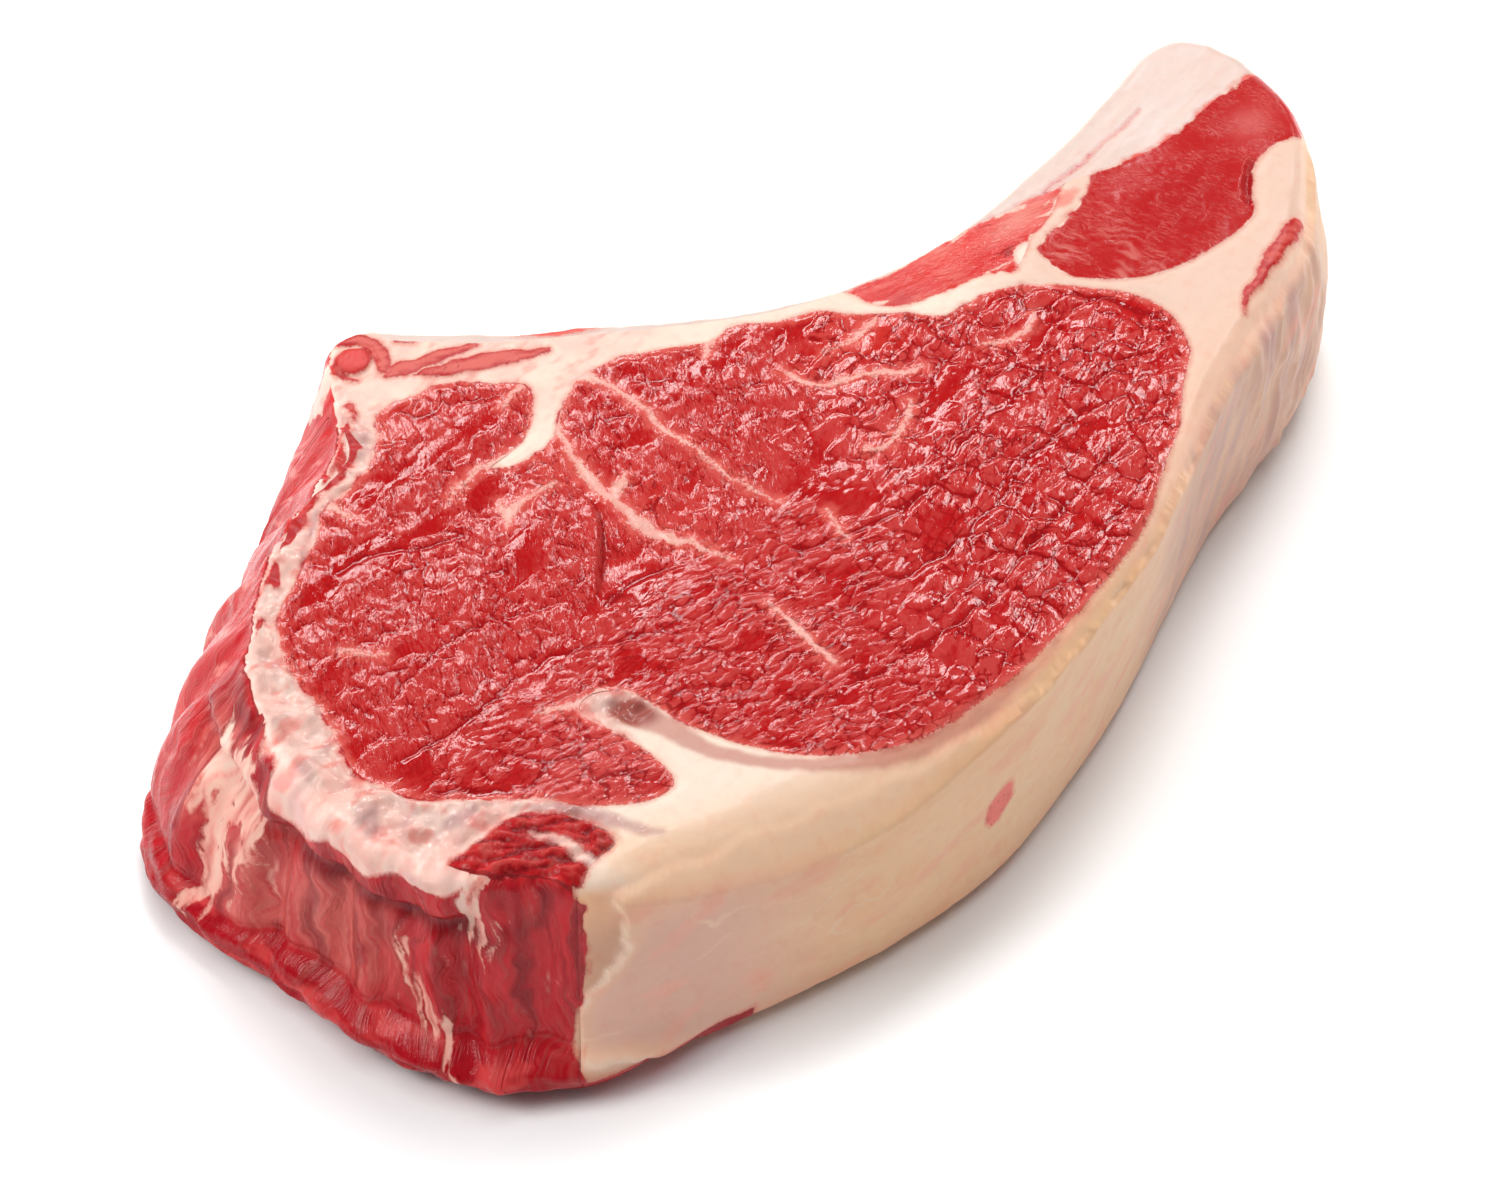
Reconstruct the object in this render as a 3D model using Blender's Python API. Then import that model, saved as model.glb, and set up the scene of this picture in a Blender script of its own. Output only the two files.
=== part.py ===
"""A raw bone-in rib steak, lying on its lower cut face with its upper cut face up.

+Z is up, +X runs along the rib to its cleaned tip, and the fat cap faces -Y. Every piece runs
from the lower cut face to the upper one, so each is a plan outline lofted through the
thickness. Plan points are in millimetres from a marbling crossing near the middle of the eye,
and the finished part has its origin under the middle of its box.
"""

import bpy
import numpy as np
from mathutils import Vector
from mathutils.geometry import delaunay_2d_cdt

METRES = 0.001
THICKNESS = 48.0
ORIGIN = (22.0, 11.5)
GAP = 0.3

# How far into the meat the lean of a wall and the rib's width are still felt, and the share of
# the height at which the bottom lip stands out
LEAN_REACH = 8.0
LIP_REACH = 5.0
LIP_HEIGHT = 0.11
LIP_SPREAD = 0.09
RIB_SKIN = 1.5
RIB_REACH = 25.0
ROUNDING_CURVE = 2.4
BLEND_RADIUS = 3.0
LEAST_NORMAL = 0.2
MITRE_LIMIT = 0.5

# Low swells of the upper cut face: x, y, radius, height
SWELLS = (
    (-62.0, 20.0, 30.0, 1.0),
    (-70.0, -24.0, 13.0, 1.2),
    (-25.0, 52.0, 14.0, 0.9),
    (-30.0, 21.0, 8.0, 1.0),
    (-24.0, 6.0, 9.0, -1.3),
    (10.0, 25.0, 16.0, 0.8),
    (35.0, -30.0, 32.0, 1.1),
    (70.0, -4.0, 12.0, -0.8),
    (118.0, 0.0, 16.0, 1.0),
    (140.0, 3.0, 8.0, -0.9),
    (96.0, -22.0, 12.0, -0.8),
    (-100.0, -2.0, 8.0, 0.8),
    (128.0, 21.0, 14.0, -0.8),
)

# Grooves down the ragged side muscle
GROOVE_PITCH = 13.0
GROOVE_DEPTH = 1.3
GROOVE_SLANT = 1.6
SECOND_GROOVES = 1.7
SECOND_SHARE = 0.5
SECOND_SLANT = 3.0

# Mesh fineness
OUTLINE_STEP = 1.0
EDGE_STEP = 5.6
SIDE_STEP = 3.8
FACE_STEP = 7.5
ROUNDED_ROWS = (0.22, 0.6)
ROW_CLEARANCE = 1.5
GRID_CLEARANCE = 0.55 * FACE_STEP
MERGE_DISTANCE = 1e-6
SHARP_ANGLE = 50.0
LEVELS = (0.0, 0.06, 0.16, 0.32, 0.52, 0.72, 0.88, 1.0)
EYE_LEVELS = (0.0, 0.5, 1.0)

# The outline of the upper face, anticlockwise in five stretches that follow each other. Each
# row: x, y, lean of the wall at the bottom, belly of the wall at half height, bottom lip, widths
# of the rounded top and bottom edges, and how much wider the rib is inside than where it shows.
CHINE_EDGE = (
    (-18.5, 86.0, 2.0, 1.0, 0.0, 3.0, 4.0, 3.0),
    (-26.5, 88.0, 3.0, 1.0, 0.0, 3.0, 3.0, 0.0),
    (-33.5, 82.0, 8.0, 3.0, 0.0, 3.0, 3.0, 0.0),
)
SIDE_EDGE = (
    (-38.5, 75.0, 14.0, 5.0, 0.0, 3.0, 2.5, 0.0),
    (-44.5, 67.5, 17.0, 5.0, 0.0, 3.0, 2.5, 0.0),
    (-54.0, 63.0, 15.0, 4.0, 0.0, 3.0, 2.5, 0.0),
    (-66.0, 58.5, 14.0, 3.5, 0.0, 3.0, 2.5, 0.0),
    (-78.0, 51.5, 16.0, 4.0, 0.5, 3.0, 2.5, 0.0),
    (-88.0, 43.0, 19.0, 5.0, 1.0, 3.0, 2.5, 0.0),
    (-96.5, 32.0, 22.0, 4.0, 2.0, 3.0, 2.5, 0.0),
    (-101.5, 19.5, 16.0, 1.0, 2.5, 3.0, 2.5, 0.0),
    (-104.5, 6.0, 9.0, -1.0, 3.0, 3.0, 2.5, 0.0),
    (-105.0, -6.0, 7.0, -2.0, 4.0, 3.0, 2.5, 0.0),
    (-102.0, -17.0, 9.0, -2.0, 5.0, 3.0, 2.5, 0.0),
    (-97.0, -26.0, 10.0, -1.0, 5.0, 3.0, 2.5, 0.0),
    (-91.5, -34.5, 11.0, 0.0, 5.0, 3.0, 2.5, 0.0),
)
CAP_EDGE = (
    (-86.0, -43.0, 9.0, 0.5, 3.5, 4.0, 2.5, 0.0),
    (-76.5, -49.0, 5.0, 1.0, 3.0, 7.0, 2.5, 0.0),
    (-64.0, -54.5, 3.0, 1.0, 0.5, 10.0, 3.0, 0.0),
    (-48.0, -60.5, 2.0, 1.0, 0.0, 12.0, 4.0, 0.0),
    (-31.0, -65.5, 1.0, 0.5, 0.0, 11.0, 4.0, 0.0),
    (-14.0, -67.0, 1.0, 0.0, 0.0, 8.0, 4.0, 0.0),
    (3.0, -67.0, 0.0, 0.0, 0.0, 5.0, 4.0, 0.0),
    (20.0, -64.5, -1.0, 0.0, 0.0, 4.0, 4.0, 0.0),
    (36.0, -61.0, -2.0, 0.0, 0.0, 4.0, 4.0, 0.0),
    (50.0, -57.0, -3.0, 0.0, 0.0, 4.0, 4.0, 0.0),
    (64.0, -51.0, -2.5, 0.0, 0.0, 4.0, 4.0, 0.0),
    (78.0, -44.5, -1.5, 0.0, 0.0, 4.5, 4.0, 0.0),
    (92.0, -39.0, -1.0, 0.5, 0.0, 5.0, 4.0, 0.0),
    (106.0, -35.0, 0.0, 1.0, 0.0, 6.0, 5.0, 0.0),
    (120.0, -30.5, 1.0, 1.5, 0.0, 6.0, 6.0, 0.0),
    (131.0, -25.0, 1.5, 2.0, 0.0, 6.0, 6.0, 0.0),
    (140.0, -17.5, 3.5, 2.0, 0.0, 5.0, 6.0, 0.0),
    (146.5, -11.5, 4.0, 1.0, 0.0, 4.0, 6.0, 0.0),
)
TAIL_EDGE = (
    (151.5, -6.5, 1.0, 0.5, 0.0, 3.5, 7.0, 0.0),
    (156.5, 1.5, 0.0, 0.5, 0.0, 3.5, 8.0, 0.0),
)
BONE_EDGE = (
    (160.0, 11.5, -1.0, 0.0, 0.0, 5.0, 10.0, 0.0),
    (161.5, 20.0, -2.0, 0.0, 0.0, 6.0, 11.0, 0.0),
    (159.5, 28.5, -2.0, 0.0, 0.0, 6.0, 11.0, 0.0),
    (154.0, 34.0, -1.0, 0.5, 0.0, 6.0, 10.0, 0.0),
    (146.0, 34.8, 0.0, 1.0, 0.0, 5.0, 9.0, 0.0),
    (134.0, 32.0, 0.0, 1.5, 0.0, 4.0, 8.0, 0.0),
    (118.0, 28.7, 0.0, 2.0, 0.0, 4.0, 7.0, 2.0),
    (102.0, 26.7, 0.0, 2.5, 0.0, 4.0, 7.0, 6.0),
    (86.0, 25.3, 0.5, 3.0, 0.0, 4.0, 7.0, 11.0),
    (70.0, 26.0, 1.0, 3.0, 0.0, 3.0, 6.0, 13.0),
    (56.0, 29.2, 1.0, 3.0, 0.0, 3.0, 6.0, 13.0),
    (44.0, 34.3, 1.0, 3.0, 0.0, 3.0, 6.0, 12.0),
    (32.0, 41.5, 1.0, 3.0, 0.0, 3.0, 6.0, 10.0),
    (20.0, 50.5, 1.0, 3.0, 0.0, 3.0, 5.0, 8.0),
    (11.0, 58.5, 1.0, 3.0, 0.0, 3.0, 5.0, 7.0),
    (2.0, 65.0, 1.0, 2.5, 0.0, 3.0, 5.0, 6.0),
    (-6.5, 73.5, 1.0, 2.0, 0.0, 3.0, 4.0, 5.0),
    (-12.5, 79.5, 1.0, 1.5, 0.0, 3.0, 4.0, 4.0),
)

# Where the pieces meet on the upper face. A seam starts and ends on the outline or on another
# seam, so its end points are taken from there.
SIDE_SEAM = (
    (-43.0, 64.0),
    (-50.0, 60.3),
    (-58.0, 60.0),
    (-68.0, 54.5),
    (-78.0, 48.0),
    (-86.5, 40.0),
    (-93.5, 29.5),
    (-98.3, 18.5),
    (-101.2, 5.5),
    (-101.7, -6.0),
    (-98.5, -15.5),
    (-93.0, -21.0),
    (-85.0, -21.5),
    (-78.5, -27.0),
    (-74.0, -34.5),
    (-74.0, -40.5),
    (-80.0, -41.0),
)
RIB_SEAM_AT_FAT = (
    (-18.0, 79.5),
    (-12.0, 73.0),
    (-4.0, 65.0),
    (6.0, 57.0),
    (16.0, 49.0),
    (27.0, 41.0),
    (39.0, 33.5),
    (50.0, 28.5),
)
RIB_SEAM_AT_INTERCOSTAL = (
    (53.5, 27.3),
    (64.0, 24.8),
    (76.0, 23.8),
    (86.0, 22.0),
    (96.0, 19.5),
)
RIB_SEAM_AT_GAP = (
    (105.0, 17.8),
)
RIB_SEAM_AT_TAIL = (
    (113.0, 15.5),
    (126.0, 12.3),
    (140.0, 12.8),
    (150.0, 13.2),
)
INTERCOSTAL_SEAM = (
    (55.0, 21.0),
    (60.0, 16.0),
    (67.0, 13.3),
    (75.0, 12.3),
    (80.5, 8.2),
    (85.0, 9.5),
    (91.0, 12.5),
    (98.0, 14.0),
)
TAIL_SEAM = (
    (106.0, 12.3),
    (98.0, 10.7),
    (90.5, 9.6),
    (87.0, 2.5),
    (91.0, -5.0),
    (97.0, -10.3),
    (105.0, -13.8),
    (115.0, -15.3),
    (125.0, -15.0),
    (130.0, -10.5),
    (136.0, -5.8),
    (142.0, -3.8),
    (147.5, -5.2),
)
EYE_SEAM = (
    (-33.0, 67.0),
    (-39.5, 60.5),
    (-48.0, 56.7),
    (-56.0, 56.0),
    (-64.0, 51.0),
    (-72.0, 46.0),
    (-80.0, 42.3),
    (-85.5, 36.0),
    (-88.5, 29.0),
    (-90.0, 20.5),
    (-93.5, 11.0),
    (-95.8, 2.5),
    (-93.0, -7.0),
    (-86.0, -15.0),
    (-78.5, -23.0),
    (-71.5, -32.0),
    (-64.5, -37.3),
    (-57.5, -38.3),
    (-55.5, -31.0),
    (-56.5, -22.0),
    (-57.5, -14.0),
    (-52.5, -13.0),
    (-47.5, -18.0),
    (-46.5, -26.5),
    (-43.5, -37.0),
    (-37.5, -48.0),
    (-29.5, -56.0),
    (-19.5, -61.0),
    (-7.0, -63.2),
    (9.0, -63.3),
    (24.0, -61.3),
    (38.0, -58.5),
    (51.0, -54.5),
    (61.5, -48.5),
    (72.0, -43.0),
    (80.5, -36.5),
    (88.5, -31.0),
    (93.8, -23.0),
    (93.5, -14.0),
    (88.0, -5.5),
    (81.0, 3.0),
    (73.0, 7.8),
    (63.0, 9.3),
    (56.5, 16.0),
    (50.0, 22.0),
    (46.0, 27.3),
    (39.0, 30.5),
    (32.0, 35.7),
    (25.0, 36.3),
    (17.5, 41.0),
    (9.0, 45.7),
    (0.0, 46.7),
    (-7.0, 43.5),
    (-14.0, 39.0),
    (-22.0, 38.3),
    (-28.0, 41.2),
    (-20.0, 41.7),
    (-12.5, 45.5),
    (-8.3, 52.5),
    (-13.0, 58.0),
    (-18.0, 63.5),
    (-25.0, 65.8),
)


def catmull_rom(rows, spans, step):
    """Samples of a smooth curve through rows, each span split into about step-long pieces."""
    samples = []
    for i in range(spans):
        p0, p1, p2, p3 = (rows[(i + k) % len(rows)] for k in range(-1, 3))
        count = max(1, round(np.hypot(*(p2 - p1)[:2]) / step))
        t = (np.arange(count) / count)[:, None]
        samples.append(
            0.5
            * (
                2 * p1
                + (p2 - p0) * t
                + (2 * p0 - 5 * p1 + 4 * p2 - p3) * t**2
                + (3 * p1 - p0 - 3 * p2 + p3) * t**3
            )
        )
    return samples


def closed_curve(rows, step):
    rows = np.array(rows, float)
    return np.concatenate(catmull_rom(rows, len(rows), step))


def open_curve(rows, step):
    """Like closed_curve, from the first row to the last."""
    rows = np.array(rows, float)
    ends = np.concatenate([rows, [2 * rows[-1] - rows[-2], 2 * rows[0] - rows[1]]])
    samples = catmull_rom(ends, len(rows) - 1, step)
    return np.concatenate([*samples, rows[-1:]])


def outline_stretches():
    """The five stretches of the outline, as samples, each up to the start of the next."""
    stretches = (CHINE_EDGE, SIDE_EDGE, CAP_EDGE, TAIL_EDGE, BONE_EDGE)
    steps = (EDGE_STEP, SIDE_STEP, EDGE_STEP, EDGE_STEP, EDGE_STEP)
    rows = np.array([row for stretch in stretches for row in stretch])[:, :2]
    found = []
    start = 0
    for stretch, step in zip(stretches, steps):
        turned = np.roll(rows, -start, axis=0)
        found.append(np.concatenate(catmull_rom(turned, len(stretch), step)))
        start += len(stretch)
    return found


class Outline:
    """The upper outline in fine steps, with its outward normals and the sizes of its wall."""

    def __init__(self):
        rows = CHINE_EDGE + SIDE_EDGE + CAP_EDGE + TAIL_EDGE + BONE_EDGE
        samples = closed_curve(rows, OUTLINE_STEP)
        self.points = samples[:, :2]
        ahead = np.roll(self.points, -1, axis=0) - np.roll(self.points, 1, axis=0)
        ahead /= np.linalg.norm(ahead, axis=1)[:, None]
        self.normals = np.stack([ahead[:, 1], -ahead[:, 0]], axis=1)
        self.sizes = samples[:, 2:]
        steps = np.linalg.norm(np.diff(self.points, axis=0, append=self.points[:1]), axis=1)
        self.run = np.cumsum(steps) - steps
        self.side_run = self.run_near(SIDE_EDGE[0]), self.run_near(CAP_EDGE[0])

    def run_near(self, row):
        return self.run[np.linalg.norm(self.points - row[:2], axis=1).argmin()]

    def at(self, plan):
        """Depth inside the outline, outward direction, wall sizes and run, at plan points."""
        away = np.linalg.norm(plan[:, None] - self.points[None], axis=2)
        weight = (away**2 + BLEND_RADIUS**2) ** -2.0
        weight /= weight.sum(axis=1)[:, None]
        normal = weight @ self.normals
        normal /= np.maximum(np.linalg.norm(normal, axis=1), LEAST_NORMAL)[:, None]
        return away.min(axis=1), normal, weight @ self.sizes, self.run[away.argmin(axis=1)]


def rounded(depth, width):
    """How far a face drops at this depth inside an edge rounded over this width."""
    share = np.clip(1 - depth / width, 0, 1)
    return width * share**ROUNDING_CURVE


def swell(plan):
    """Height of the upper cut face's low swells and hollows."""
    height = np.zeros(len(plan))
    for x, y, radius, rise in SWELLS:
        away = np.hypot(plan[:, 0] - x, plan[:, 1] - y)
        height += rise * np.exp(-((away / radius) ** 2))
    return height


def grooves(run, share, side_run):
    """Outward relief of the side muscle's wall, fading out at both ends of the muscle."""
    first, last = side_run
    fade = np.clip((run - first) / GROOVE_PITCH, 0, 1) * np.clip((last - run) / GROOVE_PITCH, 0, 1)
    turn = 2 * np.pi * run / GROOVE_PITCH + GROOVE_SLANT * np.sin(np.pi * share)
    second = SECOND_SHARE * np.sin(SECOND_GROOVES * turn + SECOND_SLANT * share)
    return GROOVE_DEPTH * fade * (np.sin(turn) + second)


def place(outline, plan, share):
    """Where plan points stand at a share of the height, 0 on the lower face and 1 on top."""
    depth, normal, sizes, run = outline.at(plan)
    flare, belly, lip, top_width, bottom_width, rib = sizes.T
    lean = (flare * (1 - share) + belly * np.sin(np.pi * share)) * np.exp(-depth / LEAN_REACH)
    bump = np.exp(-(((share - LIP_HEIGHT) / LIP_SPREAD) ** 2))
    lean += lip * bump * np.exp(-depth / LIP_REACH)
    lean += grooves(run, share, outline.side_run) * np.sin(np.pi * share) * np.exp(-depth / LIP_REACH)
    inward = rib * np.sin(np.pi * share)
    lean -= inward * (1 - np.exp(-depth / RIB_SKIN)) * np.exp(-depth / RIB_REACH)
    top = THICKNESS + swell(plan) - rounded(depth, top_width)
    bottom = rounded(depth, bottom_width)
    height = bottom + (top - bottom) * share
    return np.column_stack([plan + normal * lean[:, None] - ORIGIN, height])


def inset(loop):
    """A loop moved half the gap to its left, which is the side of the piece."""
    ahead = np.roll(loop, -1, axis=0) - loop
    ahead /= np.linalg.norm(ahead, axis=1)[:, None]
    left = np.stack([-ahead[:, 1], ahead[:, 0]], axis=1)
    both = left + np.roll(left, 1, axis=0)
    both /= np.maximum((both**2).sum(axis=1) / 2, MITRE_LIMIT)[:, None]
    return loop + both * GAP / 2


def inside(points, loop):
    """Which points lie inside a loop, by counting the edges that a ray crosses."""
    ends = np.roll(loop, -1, axis=0)
    x, y = points[:, :1], points[:, 1:]
    crosses = (loop[:, 1] > y) != (ends[:, 1] > y)
    rise = np.where(ends[:, 1] == loop[:, 1], 1.0, ends[:, 1] - loop[:, 1])
    at_x = loop[:, 0] + (y - loop[:, 1]) * (ends[:, 0] - loop[:, 0]) / rise
    return (crosses & (x < at_x)).sum(axis=1) % 2 == 1


def keep_inside(points, loops, clearance):
    """The points inside the first loop, outside the others and clear of them all."""
    keep = inside(points, loops[0])
    for loop in loops[1:]:
        keep &= ~inside(points, loop)
    points = points[keep]
    edge = np.concatenate(loops)
    away = np.linalg.norm(points[:, None] - edge[None], axis=2).min(axis=1)
    return points[away > clearance]


def rounded_rows(outline):
    """Rows of points along the rounded top edge, so that its curve shows."""
    every = round(EDGE_STEP / OUTLINE_STEP)
    points, normals = outline.points[::every], outline.normals[::every]
    width = outline.sizes[::every, 3:4]
    return np.concatenate([points - normals * width * share for share in ROUNDED_ROWS])


def face_grid(outline, loops):
    """Points of a triangular grid inside the first loop, with rows along a rounded edge."""
    low, high = loops[0].min(axis=0), loops[0].max(axis=0)
    row_step = FACE_STEP * np.sqrt(3) / 2
    rows = np.arange(low[1], high[1], row_step)
    columns = np.arange(low[0], high[0], FACE_STEP)
    x, y = np.meshgrid(columns, rows)
    x[1::2] += FACE_STEP / 2
    grid = np.column_stack([x.ravel(), y.ravel()])
    grid = keep_inside(grid, loops, GRID_CLEARANCE)
    rows = keep_inside(rounded_rows(outline), loops, ROW_CLEARANCE)
    if len(rows) == 0:
        return grid
    away = np.linalg.norm(grid[:, None] - rows[None], axis=2).min(axis=1)
    return np.concatenate([rows, grid[away > GRID_CLEARANCE]])


def triangulate(outline, loops):
    """Plan points and triangles of a face, with the loops' points first and in order."""
    grid = face_grid(outline, loops)
    points = np.concatenate([*loops, grid])
    edges = []
    start = 0
    for loop in loops:
        count = len(loop)
        edges += [(start + i, start + (i + 1) % count) for i in range(count)]
        start += count
    vectors = [Vector(point) for point in points]
    triangles = np.array(delaunay_2d_cdt(vectors, edges, [], 1, MERGE_DISTANCE)[2])
    middles = points[triangles].mean(axis=1)
    keep = inside(middles, loops[0])
    for loop in loops[1:]:
        keep &= ~inside(middles, loop)
    return points, triangles[keep]


def loft(name, outline, loops, levels, material):
    """A closed piece between the two cut faces. Its loops have the piece on their left."""
    seams = loops
    loops = [inset(loop) for loop in seams]
    plan, triangles = triangulate(outline, loops)
    layers = [place(outline, plan, 0.0), place(outline, plan, 1.0)]
    faces = [tuple(triangle[::-1]) for triangle in triangles]
    faces += [tuple(triangle + len(plan)) for triangle in triangles]
    total = 2 * len(plan)
    start = 0
    for seam, loop, shares in zip(seams, loops, levels):
        count = len(loop)
        rings = [np.arange(count) + start]
        for share in shares[1:-1]:
            layers.append(place(outline, loop, share))
            rings.append(np.arange(count) + total)
            total += count
        rings.append(np.arange(count) + start + len(plan))
        for lower, upper in zip(rings, rings[1:]):
            for i in range(count):
                j = (i + 1) % count
                # Neighbours split a shared wall along the same diagonals.
                if tuple(seam[i]) < tuple(seam[j]):
                    faces.append((lower[i], lower[j], upper[j]))
                    faces.append((lower[i], upper[j], upper[i]))
                else:
                    faces.append((lower[i], lower[j], upper[i]))
                    faces.append((lower[j], upper[j], upper[i]))
        start += count
    mesh = bpy.data.meshes.new(name)
    corners = np.concatenate(layers) * METRES
    mesh.from_pydata(corners.tolist(), [], [tuple(int(i) for i in face) for face in faces])
    mesh.materials.append(material)
    mesh.shade_smooth()
    mesh.set_sharp_from_angle(angle=np.radians(SHARP_ANGLE))
    piece = bpy.data.objects.new(name, mesh)
    bpy.context.scene.collection.objects.link(piece)


def plain_material(name, colour, roughness):
    material = bpy.data.materials.new(name)
    material.use_nodes = True
    shader = material.node_tree.nodes["Principled BSDF"]
    shader.inputs["Base Color"].default_value = (*colour, 1.0)
    shader.inputs["Roughness"].default_value = roughness
    shader.inputs["Metallic"].default_value = 0.0
    return material


def make_steak():
    outline = Outline()
    chine, side, cap, tail, bone = outline_stretches()
    side_start, cap_start, tail_start, bone_start = side[0], cap[0], tail[0], bone[0]

    side_seam = open_curve([side_start, *SIDE_SEAM, cap_start], SIDE_STEP)
    rib_rows = [chine[0], *RIB_SEAM_AT_FAT, *RIB_SEAM_AT_INTERCOSTAL, *RIB_SEAM_AT_GAP]
    rib_rows += [*RIB_SEAM_AT_TAIL, bone_start]
    rib_seam = open_curve(rib_rows, EDGE_STEP)
    starts = (RIB_SEAM_AT_INTERCOSTAL[0], RIB_SEAM_AT_GAP[0], RIB_SEAM_AT_TAIL[0])
    cuts = [int(np.linalg.norm(rib_seam - np.array(start), axis=1).argmin()) for start in starts]
    rib_by_fat, rib_by_intercostal, rib_by_gap, rib_by_tail = np.split(rib_seam, cuts)
    under_rows = [RIB_SEAM_AT_INTERCOSTAL[0], *INTERCOSTAL_SEAM, RIB_SEAM_AT_GAP[0]]
    under_intercostal = open_curve(under_rows, EDGE_STEP)
    tail_rows = [RIB_SEAM_AT_TAIL[0], *TAIL_SEAM, tail_start]
    under_tail = open_curve(tail_rows, EDGE_STEP)
    eye = closed_curve(EYE_SEAM, EDGE_STEP)

    side_loop = np.concatenate([side, side_seam[:0:-1]])
    bone_loop = np.concatenate([bone, rib_seam[:-1]])
    intercostal_loop = np.concatenate([under_intercostal, rib_by_intercostal[:0:-1]])
    tail_loop = np.concatenate([tail, bone_start[None], rib_by_tail[-2::-1], under_tail[1:-1]])
    fat_loop = np.concatenate(
        [
            cap,
            under_tail[::-1],
            rib_by_gap[::-1],
            under_intercostal[-2::-1],
            rib_by_fat[:0:-1],
            chine,
            side_seam[:-1],
        ]
    )

    lean = plain_material("lean", (0.50, 0.03, 0.03), 0.35)
    side_lean = plain_material("side_lean", (0.38, 0.02, 0.03), 0.40)
    tail_lean = plain_material("tail_lean", (0.42, 0.03, 0.03), 0.38)
    pale_lean = plain_material("pale_lean", (0.62, 0.09, 0.06), 0.38)
    fat = plain_material("fat", (0.85, 0.68, 0.52), 0.42)
    bone_surface = plain_material("bone", (0.82, 0.68, 0.60), 0.38)

    loft("rib_eye", outline, [eye], [EYE_LEVELS], lean)
    loft("fat_cover", outline, [fat_loop, eye[::-1]], [LEVELS, EYE_LEVELS], fat)
    loft("side_muscle", outline, [side_loop], [LEVELS], side_lean)
    loft("rib_bone", outline, [bone_loop], [LEVELS], bone_surface)
    loft("intercostal_muscle", outline, [intercostal_loop], [LEVELS], pale_lean)
    loft("tail_muscle", outline, [tail_loop], [LEVELS], tail_lean)


for leftover in list(bpy.data.objects):
    bpy.data.objects.remove(leftover)
make_steak()
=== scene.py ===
"""Looks of a raw bone-in rib steak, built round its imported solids.

Plan points are in millimetres from a marbling crossing near the middle of the eye, heights in
millimetres above the floor. Each piece repeats its solid's plan outline and the way that it is
lofted between the two cut faces, at a fine step, and adds relief. What its material needs, such
as its colours, how deep in fat a place is, how far from a crack, and which way the fibres run, is
kept at its points. A wall point is given by its run along the outline and its height.
"""

import bpy
import numpy as np
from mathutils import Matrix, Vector
from mathutils.geometry import delaunay_2d_cdt
from mathutils.kdtree import KDTree


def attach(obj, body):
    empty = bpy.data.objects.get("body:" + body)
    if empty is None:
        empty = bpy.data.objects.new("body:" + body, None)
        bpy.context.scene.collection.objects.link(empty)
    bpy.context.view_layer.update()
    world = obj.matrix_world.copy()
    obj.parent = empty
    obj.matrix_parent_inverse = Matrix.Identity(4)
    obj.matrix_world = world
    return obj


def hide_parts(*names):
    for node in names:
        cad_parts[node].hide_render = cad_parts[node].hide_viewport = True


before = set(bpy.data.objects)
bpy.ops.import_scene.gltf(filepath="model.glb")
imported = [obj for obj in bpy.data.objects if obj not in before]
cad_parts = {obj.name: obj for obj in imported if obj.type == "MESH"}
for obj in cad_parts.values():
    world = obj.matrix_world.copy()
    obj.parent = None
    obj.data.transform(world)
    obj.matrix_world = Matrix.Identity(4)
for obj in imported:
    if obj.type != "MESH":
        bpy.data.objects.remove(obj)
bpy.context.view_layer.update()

METRES = 0.001
THICKNESS = 48.0
ORIGIN = np.array([22.0, 11.5])

# Fineness of the meshes, in millimetres
FINE_STEP = 0.52
UNDER_STEP = 1.9
WALL_ROWS = 72
OUTLINE_STEP = 1.0

# How the solids are lofted: how far into the meat a wall's lean, its bottom lip and the rib's
# width are still felt, where the lip is, and how the cut faces' edges are rounded
LEAN_REACH = 8.0
LIP_REACH = 5.0
LIP_HEIGHT = 0.11
LIP_SPREAD = 0.09
RIB_SKIN = 1.5
RIB_REACH = 25.0
ROUNDING_CURVE = 2.4
BLEND_RADIUS = 3.0
LEAST_NORMAL = 0.2

# How deep a fold of a wall may go, how softly that limit sets in, and how far the thin side meat
# stands out beyond its solid, so that the fat's straight wall behind it never shows through
DEEPEST_FOLD = 1.5
FOLD_SOFTNESS = 0.4
THIN_SIDE = 1.6

# How far from the walls and from the cut faces their relief is still felt
WALL_RELIEF_REACH = 2.5
FACE_RELIEF_REACH = 3.0

# How the side wall's fibres lean, in millimetres of run for each of height, and the direction of
# the folds of the membrane at the cap's right end
STRAND_SLANT = 0.12
MEMBRANE_SLANT = 68

# Low swells of the upper cut face: x, y, radius, height
SWELLS = (
    (-62, 20, 30, 1),
    (-70, -24, 13, 1.2),
    (-25, 52, 14, 0.9),
    (-30, 21, 8, 1),
    (-24, 6, 9, -1.3),
    (10, 25, 16, 0.8),
    (35, -30, 32, 1.1),
    (70, -4, 12, -0.8),
    (118, 0, 16, 1),
    (140, 3, 8, -0.9),
    (96, -22, 12, -0.8),
    (-100, -2, 8, 0.8),
    (128, 21, 14, -0.8),
)

# Grooves down the ragged side muscle
GROOVE_PITCH = 13
GROOVE_DEPTH = 1.3
GROOVE_SLANT = 1.6
SECOND_GROOVES = 1.7
SECOND_SHARE = 0.5
SECOND_SLANT = 3

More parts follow.
